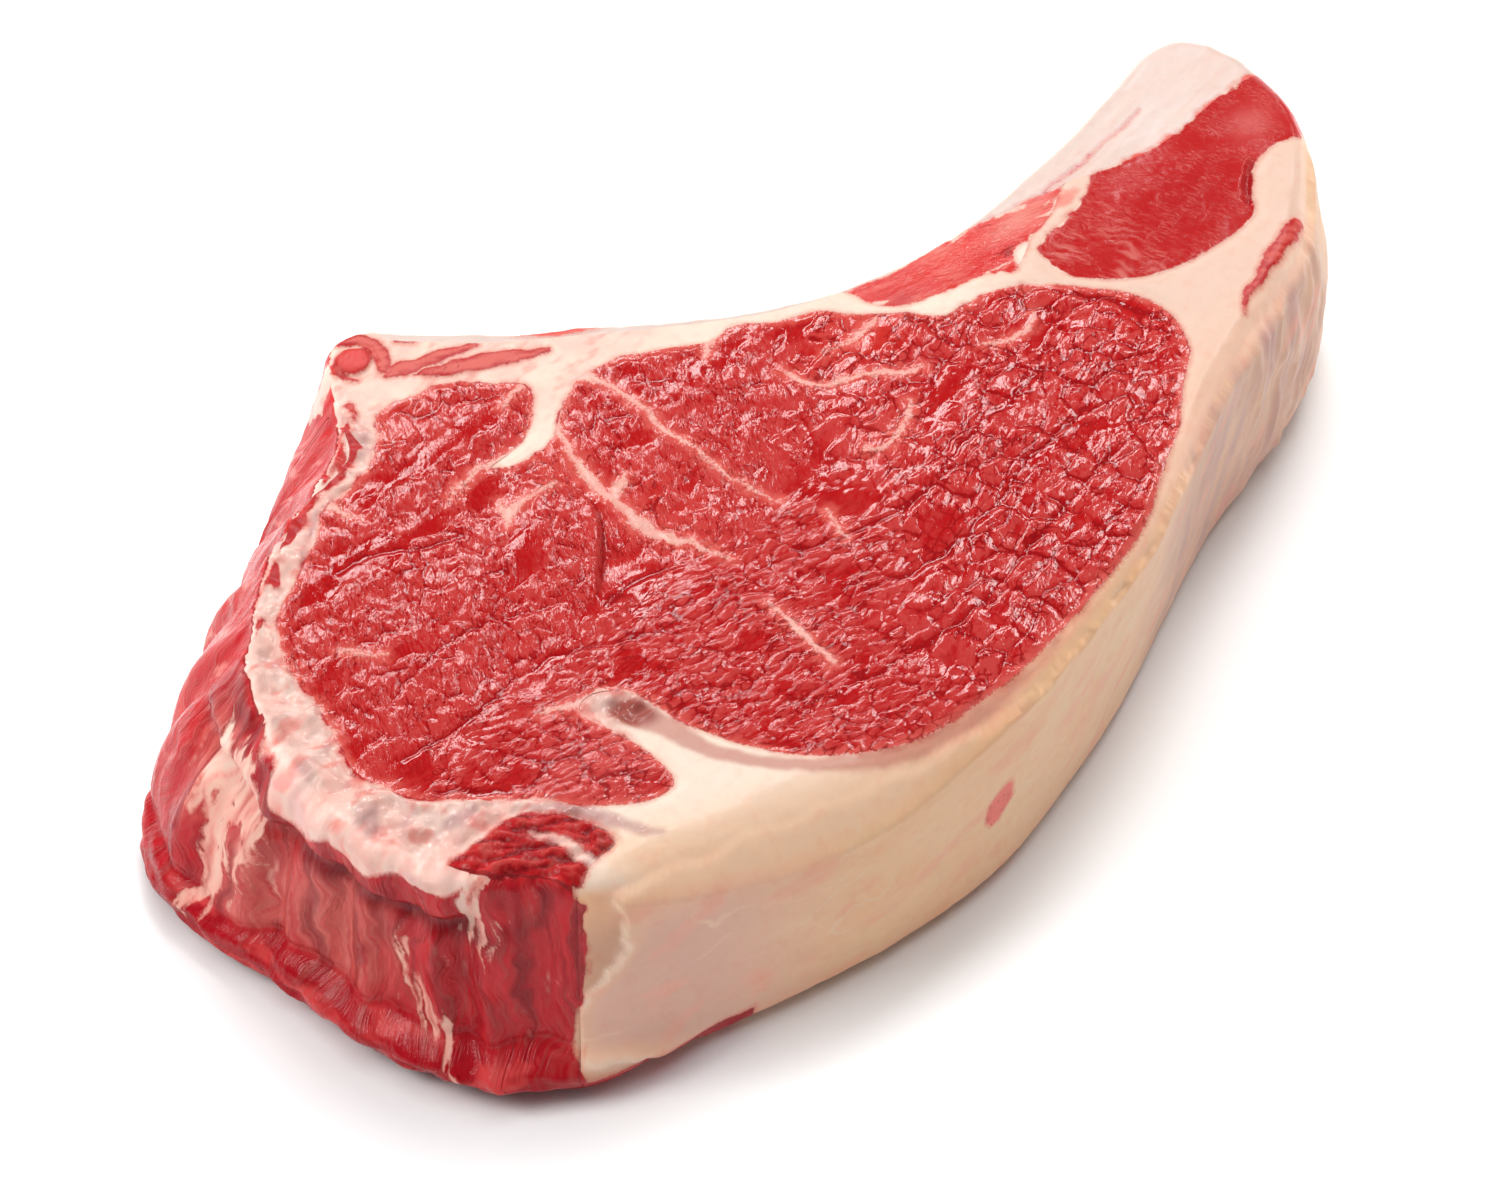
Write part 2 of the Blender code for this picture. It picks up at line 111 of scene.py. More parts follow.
# The outline of the upper face, anticlockwise. Each row: x, y, lean of the wall at the bottom,
# belly of the wall at half height, bottom lip, widths of the rounded top and bottom edges, and
# how much wider the rib is inside than where it shows.
CHINE_EDGE = (
    (-18.5, 86, 2, 1, 0, 3, 4, 3),
    (-26.5, 88, 3, 1, 0, 3, 3, 0),
    (-33.5, 82, 8, 3, 0, 3, 3, 0),
)
SIDE_EDGE = (
    (-38.5, 75, 14, 5, 0, 3, 2.5, 0),
    (-44.5, 67.5, 17, 5, 0, 3, 2.5, 0),
    (-54, 63, 15, 4, 0, 3, 2.5, 0),
    (-66, 58.5, 14, 3.5, 0, 3, 2.5, 0),
    (-78, 51.5, 16, 4, 0.5, 3, 2.5, 0),
    (-88, 43, 19, 5, 1, 3, 2.5, 0),
    (-96.5, 32, 22, 4, 2, 3, 2.5, 0),
    (-101.5, 19.5, 16, 1, 2.5, 3, 2.5, 0),
    (-104.5, 6, 9, -1, 3, 3, 2.5, 0),
    (-105, -6, 7, -2, 4, 3, 2.5, 0),
    (-102, -17, 9, -2, 5, 3, 2.5, 0),
    (-97, -26, 10, -1, 5, 3, 2.5, 0),
    (-91.5, -34.5, 11, 0, 5, 3, 2.5, 0),
)
CAP_EDGE = (
    (-86, -43, 9, 0.5, 3.5, 4, 2.5, 0),
    (-76.5, -49, 5, 1, 3, 7, 2.5, 0),
    (-64, -54.5, 3, 1, 0.5, 10, 3, 0),
    (-48, -60.5, 2, 1, 0, 12, 4, 0),
    (-31, -65.5, 1, 0.5, 0, 11, 4, 0),
    (-14, -67, 1, 0, 0, 8, 4, 0),
    (3, -67, 0, 0, 0, 5, 4, 0),
    (20, -64.5, -1, 0, 0, 4, 4, 0),
    (36, -61, -2, 0, 0, 4, 4, 0),
    (50, -57, -3, 0, 0, 4, 4, 0),
    (64, -51, -2.5, 0, 0, 4, 4, 0),
    (78, -44.5, -1.5, 0, 0, 4.5, 4, 0),
    (92, -39, -1, 0.5, 0, 5, 4, 0),
    (106, -35, 0, 1, 0, 6, 5, 0),
    (120, -30.5, 1, 1.5, 0, 6, 6, 0),
    (131, -25, 1.5, 2, 0, 6, 6, 0),
    (140, -17.5, 3.5, 2, 0, 5, 6, 0),
    (146.5, -11.5, 4, 1, 0, 4, 6, 0),
)
TAIL_EDGE = (
    (151.5, -6.5, 1, 0.5, 0, 3.5, 7, 0),
    (156.5, 1.5, 0, 0.5, 0, 3.5, 8, 0),
)
BONE_EDGE = (
    (160, 11.5, -1, 0, 0, 5, 10, 0),
    (161.5, 20, -2, 0, 0, 6, 11, 0),
    (159.5, 28.5, -2, 0, 0, 6, 11, 0),
    (154, 34, -1, 0.5, 0, 6, 10, 0),
    (146, 34.8, 0, 1, 0, 5, 9, 0),
    (134, 32, 0, 1.5, 0, 4, 8, 0),
    (118, 28.7, 0, 2, 0, 4, 7, 2),
    (102, 26.7, 0, 2.5, 0, 4, 7, 6),
    (86, 25.3, 0.5, 3, 0, 4, 7, 11),
    (70, 26, 1, 3, 0, 3, 6, 13),
    (56, 29.2, 1, 3, 0, 3, 6, 13),
    (44, 34.3, 1, 3, 0, 3, 6, 12),
    (32, 41.5, 1, 3, 0, 3, 6, 10),
    (20, 50.5, 1, 3, 0, 3, 5, 8),
    (11, 58.5, 1, 3, 0, 3, 5, 7),
    (2, 65, 1, 2.5, 0, 3, 5, 6),
    (-6.5, 73.5, 1, 2, 0, 3, 4, 5),
    (-12.5, 79.5, 1, 1.5, 0, 3, 4, 4),
)

# Where the pieces meet on the upper face
SIDE_SEAM = (
    (-43, 64), (-50, 60.3), (-58, 60), (-68, 54.5), (-78, 48), (-86.5, 40),
    (-93.5, 29.5), (-98.3, 18.5), (-101.2, 5.5), (-101.7, -6), (-98.5, -15.5), (-93, -21),
    (-85, -21.5), (-78.5, -27), (-74, -34.5), (-74, -40.5), (-80, -41),
)
RIB_SEAM_AT_FAT = (
    (-18, 79.5), (-12, 73), (-4, 65), (6, 57), (16, 49), (27, 41),
    (39, 33.5), (50, 28.5),
)
RIB_SEAM_AT_INTERCOSTAL = (
    (53.5, 27.3), (64, 24.8), (76, 23.8), (86, 22), (96, 19.5),
)
RIB_SEAM_AT_GAP = ((105, 17.8),)
RIB_SEAM_AT_TAIL = ((113, 15.5), (126, 12.3), (140, 12.8), (150, 13.2))
INTERCOSTAL_SEAM = (
    (55, 21), (60, 16), (67, 13.3), (75, 12.3), (80.5, 8.2), (85, 9.5),
    (91, 12.5), (98, 14),
)
TAIL_SEAM = (
    (106, 12.3), (98, 10.7), (90.5, 9.6), (87, 2.5), (91, -5), (97, -10.3),
    (105, -13.8), (115, -15.3), (125, -15), (130, -10.5), (136, -5.8),
    (142, -3.8), (147.5, -5.2),
)
EYE_SEAM = (
    (-33, 67), (-39.5, 60.5), (-48, 56.7), (-56, 56), (-64, 51), (-72, 46),
    (-80, 42.3), (-85.5, 36), (-88.5, 29), (-90, 20.5), (-93.5, 11), (-95.8, 2.5),
    (-93, -7), (-86, -15), (-78.5, -23), (-71.5, -32), (-64.5, -37.3),
    (-57.5, -38.3), (-55.5, -31), (-56.5, -22), (-57.5, -14), (-52.5, -13),
    (-47.5, -18), (-46.5, -26.5), (-43.5, -37), (-37.5, -48), (-29.5, -56),
    (-19.5, -61), (-7, -63.2), (9, -63.3), (24, -61.3), (38, -58.5), (51, -54.5),
    (61.5, -48.5), (72, -43), (80.5, -36.5), (88.5, -31), (93.8, -23), (93.5, -14),
    (88, -5.5), (81, 3), (73, 7.8), (63, 9.3), (56.5, 16), (50, 22),
    (46, 27.3), (39, 30.5), (32, 35.7), (25, 36.3), (17.5, 41), (9, 45.7),
    (0, 46.7), (-7, 43.5), (-14, 39), (-22, 38.3), (-28, 41.2), (-20, 41.7),
    (-12.5, 45.5), (-8.3, 52.5), (-13, 58), (-18, 63.5), (-25, 65.8),
)

# Marbling of the eye: points x, y and half width along each vein
MARBLING = (
    ((1, 48, 1.8), (2.6, 44, 0.9), (3.4, 37, 0.5), (3.4, 31, 0.45), (1.9, 26, 0.4),
     (2.8, 18, 0.3), (2.4, 9, 0.15), (3.6, 2, 0.3), (5, -3, 0.1)),
    ((-8, 45, 1.2), (-12, 39, 0.5), (-14.3, 33, 0.5), (-16.2, 27, 0.9),
     (-16.6, 19.5, 0.7), (-17.2, 11, 1), (-15.8, 5, 0.9), (-14, 0.5, 0.5),
     (-12, -7, 0.2)),
    ((-16, 20.2, 1), (-13.2, 21.4, 0.7), (-10.8, 22.2, 0.2)),
    ((-35.6, 28.2, 0.3), (-33.6, 30.2, 1), (-30, 30.8, 0.55), (-25, 30, 0.4),
     (-21.8, 29.6, 0.2)),
    ((-34.2, 30.4, 0.6), (-32.4, 33.4, 0.3)),
    ((-24, 40.8, 0.8), (-29, 42.2, 0.4), (-34.5, 42, 0.25), (-39, 40.5, 0.1)),
    ((29.5, 21, 0.3), (31, 14.2, 0.6), (36, 10.6, 0.5), (41, 7.6, 0.45),
     (46.3, 3.6, 0.8), (49, 2.4, 0.2)),
    ((22, 33.5, 0.3), (24.5, 36, 0.8), (30, 38, 1.2)),
    ((25.4, -5.2, 0.3), (28, -7.2, 0.5), (33.8, -6.6, 0.4), (38.9, -4, 0.5),
     (40.6, -2.2, 0.2)),
    ((62.3, -1.4, 0.2), (66.6, -3.9, 0.4), (72.8, -4, 0.4), (75.6, -1.8, 0.2)),
    ((-14.8, -19.5, 0.2), (-15.2, -25, 0.5), (-15.8, -31, 0.6), (-17, -38.2, 0.3)),
    ((-78.6, 27, 0.3), (-75.8, 23, 0.3), (-73.4, 20.2, 0.15)),
    ((-63, -9.8, 0.3), (-58, -12.4, 0.9), (-52, -14.4, 1.6)),
    ((9.4, -11, 0.2), (7, -18, 0.3)),
    ((52, 18, 0.7), (45.5, 17.2, 0.3), (39, 18.4, 0.15)),
    ((-56, 55, 0.6), (-54, 50, 0.15)),
    ((-9, 53, 0.8), (-16, 51, 0.15)),
)

# Deep cracks of the eye: points x, y and half width
CRACKS = (
    ((-73, -14, 0.5), (-71, -18.5, 0.5), (-66, -22, 0.6), (-66.5, -28, 0.5),
     (-68.5, -33, 0.4)),
    ((-66, -22, 0.5), (-61, -20, 0.4), (-59, -16, 0.4)),
    ((-66.5, -28, 0.5), (-62.5, -30.5, 0.5), (-59.5, -35, 0.4)),
    ((-71, -18.5, 0.5), (-75.5, -21, 0.5)),
    ((-89, -10, 0.5), (-85, -13, 0.8), (-80, -19, 0.7)),
    ((-36, 1, 0.6), (-30, 2.6, 0.6), (-25, 2, 0.5), (-19, -1.5, 0.4)),
    ((-66, 42, 0.4), (-58, 40.5, 0.5), (-52, 36, 0.5), (-44, 33, 0.4)),
    ((84, -4, 0.5), (88.5, -11, 0.8), (91, -20, 0.6)),
    ((-80, 12, 0.4), (-66, 14.5, 0.4), (-54, 12.5, 0.4), (-42, 7, 0.3)),
    ((-88, 0, 0.4), (-74, -2, 0.4), (-58, -0.5, 0.4), (-44, -5, 0.4),
     (-30, -12, 0.3)),
    ((-2, -14, 0.4), (10, -19, 0.4), (24, -21, 0.5), (40, -17, 0.5),
     (56, -16, 0.4), (70, -11, 0.3)),
    ((0, -30, 0.4), (14, -34, 0.5), (30, -33, 0.5), (46, -29, 0.5),
     (62, -27, 0.4), (80, -20, 0.3)),
    ((-20, -44, 0.4), (-4, -47, 0.5), (14, -47, 0.5), (30, -44, 0.5),
     (48, -41, 0.4), (64, -38, 0.3)),
)

# The fold round a lobe of the eye, with a smooth hollow on its right
FOLD = (
    (-24.5, 35.5), (-21.2, 31), (-19.8, 26), (-20.2, 21), (-22.6, 16.5), (-27, 11.5),
    (-33, 6), (-37.5, 1.5),
)

# How brightly the upper face and the walls are lit, and the palest that a surface colour is made
# to even that out
TOP_LIGHT = 1.5
WALL_LIGHT = 0.78
BRIGHTEST = 0.88

# Colours as they look on the upper face, in sRGB. First the eye's and other lean's, with the painted
# shade that deepens their cracks and the painted sheen on their tops
CRACK_PAINTED_SHADE = (146, 0, 8)
RED = (190, 12, 16)
PAINTED_SHEEN_RED = (222, 92, 86)
EYE_PAINTED_SHEEN = (228, 96, 90)
PALE_BY_FAT = (238, 110, 98)
EYE_FAT = (244, 164, 152)
ORANGE_RED = (222, 40, 36)
INTERCOSTAL_FIBRE = (244, 128, 112)
INTERCOSTAL_PAINTED_SHEEN = (248, 150, 136)
TAIL_RED = (196, 34, 34)
TAIL_PALE = (232, 130, 122)
TAIL_PAINTED_SHEEN = (228, 110, 102)
TAIL_WALL = (176, 24, 30)
TAIL_HANG = (218, 88, 80)
TAIL_FAT = (228, 178, 152)

# The side muscle's, on its wall, on its bottom lip, towards the back and on the cut face
SIDE_RED = (156, 16, 28)
# The see-through skin's colour on the side wall, also painted as sheen on the side meat's tops
SIDE_FILM_AND_PAINTED_SHEEN = (198, 104, 94)
SIDE_FIBRE = (182, 28, 36)
SIDE_FINE = (196, 58, 60)
SIDE_HAIR = (226, 170, 154)
SIDE_DIP = (112, 4, 16)
# Painted shade under the overhanging ring: a dark band just under it, and darker patches higher on the wall
UNDER_RING_PAINTED_SHADE = (96, 0, 12)
SIDE_PAINTED_SHADE_HIGH = (118, 8, 20)
LIP_RED = (150, 8, 22)
LIP_FOLD = (210, 74, 72)
BACK_RED = (186, 22, 28)
BACK_FIBRE = (222, 100, 92)
BACK_MARBLE = (236, 158, 146)
SIDE_SEAM_RED = (196, 40, 42)
SIDE_TOP = (202, 40, 42)
SIDE_STRIPE = (226, 92, 86)
LOBE_RED = (186, 16, 24)
# Painted shade in the hollows of the front lobe's folds, and painted glints on their ridges
LOBE_FOLD_PAINTED_SHADE = (112, 4, 14)
LOBE_FOLD_PAINTED_GLINT = (222, 84, 78)
LOW_FAT = (222, 160, 142)
LAST_FAT = (204, 158, 132)

# The fat's on the cut face and the ring, with its red streaks
CREAM = (252, 228, 208)
WARM_CREAM = (255, 208, 170)
TIP_CREAM = (234, 190, 168)
PINK_FAT = (248, 190, 176)
WEDGE_PINK = (238, 140, 124)
MEATY_PINK = (238, 124, 106)
RING_FAT = (252, 222, 208)
RING_BLUSH = (236, 118, 106)
RING_CLEAR = (200, 150, 150)
GREY_FAT = (198, 122, 106)
PATCH_BROWN = (158, 70, 62)
MAUVE = (196, 150, 150)
NUB_RED = (226, 58, 52)
STREAK_RED = (196, 34, 36)
STREAK_CORE = (234, 112, 98)
SPOT_RED = (216, 104, 92)

# The fat's on the cap's wall
WALL_FAT = (226, 188, 150)
WALL_TAN = (214, 166, 128)
WALL_TOP = (244, 192, 148)
WALL_LINES = (244, 214, 184)
WALL_PINK = (232, 150, 128)
WALL_FOOT = (226, 150, 118)
FLAP_FAT = (208, 164, 146)
FLAP_SHADE = (192, 146, 120)
FLAP_EDGE = (246, 230, 214)
MEMBRANE = (184, 142, 132)

# The rib's
BONE_SKIN = (236, 213, 204)
BONE_STREAK = (232, 196, 178)
BONE_RIM = (214, 196, 184)
BONE_BLOOD = (214, 120, 108)
BONE_RED = (232, 92, 78)
BONE_WALL_RED = (190, 44, 46)
VEIN = (214, 60, 84)


def linear(colour):
    """The surface colour that looks like this sRGB colour of 0 to 255 on the upper face."""
    share = np.array(colour, float) / 255
    light = np.where(share <= 0.04045, share / 12.92, ((share + 0.055) / 1.055) ** 2.4)
    return light / TOP_LIGHT


def smooth(low, high, value):
    share = np.clip((value - low) / (high - low), 0, 1)
    return share * share * (3 - 2 * share)


def blend(first, second, share):
    share = np.asarray(share)[:, None]
    return first * (1 - share) + second * share


def plain(colour, points):
    """One colour at every point."""
    return np.tile(linear(colour), (len(points), 1))


def coated(base, *coats):
    """A colour with others laid over it in turn, each with its share at every point."""
    for colour, share in coats:
        second = colour if isinstance(colour, np.ndarray) else linear(colour)
        base = blend(base, second, share)
    return base


def hump(away, width):
    """1 where away is 0, falling off smoothly to both sides."""
    return np.exp(-((away / width) ** 2))


def between(value, rise, fall):
    """1 between two places, each given as where its fade starts and ends."""
    return smooth(*rise, value) * smooth(*fall, value)


# Noise


def random_at(corner, seed):
    """A repeatable random number from 0 to 1 for each corner of a square lattice."""
    whole = corner.astype(np.int64)
    mixed = (whole[:, 0] * 73856093) ^ (whole[:, 1] * 19349663) ^ (seed * 83492791)
    mixed = (mixed ^ (mixed >> 13)) * 1274126177
    mixed ^= mixed >> 16
    mixed = (mixed ^ (mixed << 5)) * 668265263
    mixed ^= mixed >> 15
    return (mixed & 0xFFFFFF) / 0xFFFFFF


def noise(points, size, seed):
    """Smooth noise of about -1 to 1 whose features have this size, or sizes, in millimetres."""
    scaled = points / np.asarray(size, float)
    base = np.floor(scaled)
    part = scaled - base
    fade = part**3 * (part * (part * 6 - 15) + 10)
    total = np.zeros(len(points))
    for dx in (0, 1):
        for dy in (0, 1):
            turn = 2 * np.pi * random_at(base + (dx, dy), seed)
            along = np.cos(turn) * (part[:, 0] - dx) + np.sin(turn) * (part[:, 1] - dy)
            across = np.abs(1 - dx - fade[:, 0]) * np.abs(1 - dy - fade[:, 1])
            total += along * across
    return 1.5 * total


def layered(points, size, seed, layers=3):
    size = np.asarray(size, float)
    return sum(0.5**k * noise(points, size / 2**k, seed + 17 * k) for k in range(layers))


def patchy(points, size, seed, layers=3):
    """Noise as a share of about 0 to 1."""
    return 0.5 + 0.5 * layered(points, size, seed, layers)


def ripples(points, *layers):
    """Layers of noise added up, each with its height, its size or sizes, and its seed."""
    return sum(height * noise(points, size, seed) for height, size, seed in layers)


def cells(points, size, seed):
    """Irregular cells: distance to the cell's edge, offset from its middle, and its own number."""
    size = np.asarray(size, float) * np.ones(2)
    scaled = points / size
    base = np.floor(scaled)

    def middle(corner):
        jitter = np.stack([random_at(corner, seed), random_at(corner, seed + 1)], axis=1)
        return corner + 0.12 + 0.76 * jitter

    nearest = np.full(len(points), 9.0)
    offset = np.zeros_like(scaled)
    home = base.copy()
    for dx in (-1, 0, 1):
        for dy in (-1, 0, 1):
            corner = base + (dx, dy)
            away = middle(corner) - scaled
            square = (away**2).sum(axis=1)
            closer = square < nearest
            nearest = np.where(closer, square, nearest)
            offset[closer] = away[closer]
            home[closer] = corner[closer]
    edge = np.full(len(points), 9.0)
    for dx in (-2, -1, 0, 1, 2):
        for dy in (-2, -1, 0, 1, 2):
            if dx == 0 and dy == 0:
                continue
            away = middle(home + (dx, dy)) - scaled
            step = away - offset
            length = np.maximum(np.linalg.norm(step, axis=1), 1e-6)
            edge = np.minimum(edge, ((away + offset) / 2 * step).sum(axis=1) / length)
    return edge * size.mean(), -offset * size, random_at(home, seed + 2)


def turned(points, degrees):
    """The points in axes along and across a direction."""
    angle = np.radians(degrees)
    along = points[:, 0] * np.cos(angle) + points[:, 1] * np.sin(angle)
    across = points[:, 1] * np.cos(angle) - points[:, 0] * np.sin(angle)
    return np.column_stack([along, across])


def warped(points, size, reach, seed):
    """The points, pushed about so that what is drawn with them looks grown."""
    push = np.column_stack([layered(points, size, seed), layered(points, size, seed + 5)])
    return points + reach * push


# Curves and distances


def catmull_rom(rows, spans, step):
    """Samples of a smooth curve through rows, each span split into about step-long pieces."""
    samples = []
    for i in range(spans):
        p0, p1, p2, p3 = (rows[(i + k) % len(rows)] for k in range(-1, 3))
        count = max(1, round(np.hypot(*(p2 - p1)[:2]) / step))
        t = (np.arange(count) / count)[:, None]
        curve = 2 * p1 + (p2 - p0) * t
        curve = curve + (2 * p0 - 5 * p1 + 4 * p2 - p3) * t**2
        samples.append(0.5 * (curve + (3 * p1 - p0 - 3 * p2 + p3) * t**3))
    return samples


def closed_curve(rows, step):
    rows = np.array(rows, float)
    return np.concatenate(catmull_rom(rows, len(rows), step))


def open_curve(rows, step):
    """Like closed_curve, from the first row to the last."""
    rows = np.array(rows, float)
    ends = np.concatenate([rows, [2 * rows[-1] - rows[-2], 2 * rows[0] - rows[1]]])
    samples = catmull_rom(ends, len(rows) - 1, step)
    return np.concatenate([*samples, rows[-1:]])


def nearest(points, targets):
    """Distance to the nearest of the targets, and which one it is."""
    tree = KDTree(len(targets))
    for i, target in enumerate(targets):
        tree.insert((target[0], target[1], 0.0), i)
    tree.balance()
    found = [tree.find((point[0], point[1], 0.0)) for point in points]
    return np.array([f[2] for f in found]), np.array([f[1] for f in found])


def inside(points, loop):
    """Which points lie inside a loop, by counting the edges that a ray crosses."""
    ends = np.roll(loop, -1, axis=0)
    rise = np.where(ends[:, 1] == loop[:, 1], 1.0, ends[:, 1] - loop[:, 1])
    slope = (ends[:, 0] - loop[:, 0]) / rise
    found = []
    for part in np.array_split(points, max(1, len(points) // 8000)):
        x, y = part[:, :1], part[:, 1:]
        crosses = (loop[:, 1] > y) != (ends[:, 1] > y)
        at_x = loop[:, 0] + (y - loop[:, 1]) * slope
        found.append((crosses & (x < at_x)).sum(axis=1) % 2 == 1)
    return np.concatenate(found)


def vein(points, rows):
    """How far inside a vein each point is, in millimetres; negative outside it."""
    path = open_curve(rows, 0.7)
    away, which = nearest(points, path)
    return path[which, 2] - away


def veins(points, many):
    found = np.full(len(points), -9.0)
    for rows in many:
        low = np.array(rows)[:, :2].min(axis=0) - 5
        high = np.array(rows)[:, :2].max(axis=0) + 5
        near = ((points > low) & (points < high)).all(axis=1)
        if near.any():
            found[near] = np.maximum(found[near], vein(points[near], rows))
    return found


def blob(points, middle, radii, degrees=0.0):
    """How far inside an ellipse each point is, in millimetres; negative outside it."""
    along = turned(points - np.array(middle), degrees) / np.array(radii)
    return (1 - np.linalg.norm(along, axis=1)) * min(radii)


# The body's form, as in its solids


def outline_stretches(step):
    stretches = (CHINE_EDGE, SIDE_EDGE, CAP_EDGE, TAIL_EDGE, BONE_EDGE)
    rows = np.array([row for stretch in stretches for row in stretch])[:, :2]
    found = []
    start = 0
    for stretch in stretches:
        turned_rows = np.roll(rows, -start, axis=0)
        found.append(np.concatenate(catmull_rom(turned_rows, len(stretch), step)))
        start += len(stretch)
    return found


class Outline:
    """The upper outline in fine steps, with its outward normals and the sizes of its wall."""

    def __init__(self):
        rows = CHINE_EDGE + SIDE_EDGE + CAP_EDGE + TAIL_EDGE + BONE_EDGE
        samples = closed_curve(rows, OUTLINE_STEP)
        self.points = samples[:, :2]
        ahead = np.roll(self.points, -1, axis=0) - np.roll(self.points, 1, axis=0)
        ahead /= np.linalg.norm(ahead, axis=1)[:, None]
        self.normals = np.stack([ahead[:, 1], -ahead[:, 0]], axis=1)
        self.sizes = samples[:, 2:]
        steps = np.linalg.norm(np.diff(self.points, axis=0, append=self.points[:1]), axis=1)
        self.run = np.cumsum(steps) - steps
        self.side_run = self.run_near(SIDE_EDGE[0]), self.run_near(CAP_EDGE[0])
        self.tail_run = self.run_near(TAIL_EDGE[0]), self.run_near(BONE_EDGE[0])

    def run_near(self, row):
        return self.run[np.linalg.norm(self.points - row[:2], axis=1).argmin()]

    def on_edge(self, plan, nearest_sample):
        """Distance to the outline's two edges at its nearest sample, and the run there."""
        best = np.full(len(plan), 1e9)
        run = np.zeros(len(plan))
        count = len(self.points)
        for back in (1, 0):
            start = self.points[nearest_sample - back]
            ahead = self.points[(nearest_sample - back + 1) % count] - start
            length = np.linalg.norm(ahead, axis=1)
            share = np.clip(((plan - start) * ahead).sum(axis=1) / length**2, 0, 1)
            away = np.linalg.norm(start + ahead * share[:, None] - plan, axis=1)
            closer = away < best
            best = np.where(closer, away, best)
            run = np.where(closer, self.run[nearest_sample - back] + share * length, run)
        return best, run

    def at(self, plan):
        """Depth inside the outline, outward direction, wall sizes and run, at plan points."""
        found = []
        for part in np.array_split(plan, max(1, len(plan) // 4000)):
            away = np.hypot(part[:, :1] - self.points[:, 0], part[:, 1:] - self.points[:, 1])
            weight = 1 / (away**2 + BLEND_RADIUS**2) ** 2
            weight /= weight.sum(axis=1)[:, None]
            normal = weight @ self.normals
            length = np.maximum(np.linalg.norm(normal, axis=1), LEAST_NORMAL)
            depth, run = self.on_edge(part, away.argmin(axis=1))
            found.append((depth, normal / length[:, None], weight @ self.sizes, run))
        return [np.concatenate(column) for column in zip(*found)]


def rounded(depth, width):
    share = np.clip(1 - depth / width, 0, 1)
    return width * share**ROUNDING_CURVE


def swell(plan):
    height = np.zeros(len(plan))
    for x, y, radius, rise in SWELLS:
        height += rise * hump(np.hypot(plan[:, 0] - x, plan[:, 1] - y), radius)
    return height


def grooves(run, share, side_run):
    first, last = side_run
    fade = np.clip((run - first) / GROOVE_PITCH, 0, 1) * np.clip((last - run) / GROOVE_PITCH, 0, 1)
    turn = 2 * np.pi * run / GROOVE_PITCH + GROOVE_SLANT * np.sin(np.pi * share)
    second = SECOND_SHARE * np.sin(SECOND_GROOVES * turn + SECOND_SLANT * share)
    return GROOVE_DEPTH * fade * (np.sin(turn) + second)


class Points:
    """Points of a piece: where each is in plan, its share of the height, and its place."""

    def __init__(self, outline, plan, share):
        self.outline = outline
        self.plan = plan
        self.share = np.broadcast_to(np.asarray(share, float), len(plan)).copy()
        self.depth, self.normal, self.sizes, self.run = outline.at(plan)

    def at_share(self, share):
        """The same plan points at another height."""
        copy = object.__new__(Points)
        copy.__dict__.update(self.__dict__)
        copy.share = np.full(len(self.plan), float(share))
        return copy

    def place(self):
        """Where the solid has these points, in plan axes, with the height third."""
        depth, share = self.depth, self.share
        flare, belly, lip, top_width, bottom_width, rib = self.sizes.T
        arch = np.sin(np.pi * share)
        lean = (flare * (1 - share) + belly * arch) * np.exp(-depth / LEAN_REACH)
        lean += lip * hump(share - LIP_HEIGHT, LIP_SPREAD) * np.exp(-depth / LIP_REACH)
        lean += grooves(self.run, share, self.outline.side_run) * arch * np.exp(-depth / LIP_REACH)
        inward = rib * arch
        lean -= inward * (1 - np.exp(-depth / RIB_SKIN)) * np.exp(-depth / RIB_REACH)
        top = THICKNESS + swell(self.plan) - rounded(depth, top_width)
        bottom = rounded(depth, bottom_width)
        height = bottom + (top - bottom) * share
        return np.column_stack([self.plan + self.normal * lean[:, None], height])


def join_points(groups):
    """Several groups of points as one."""
    whole = object.__new__(Points)
    whole.outline = groups[0].outline
    for name in ("plan", "share", "depth", "normal", "sizes", "run"):
        setattr(whole, name, np.concatenate([getattr(group, name) for group in groups]))
    return whole


# Relief and fields of the meat


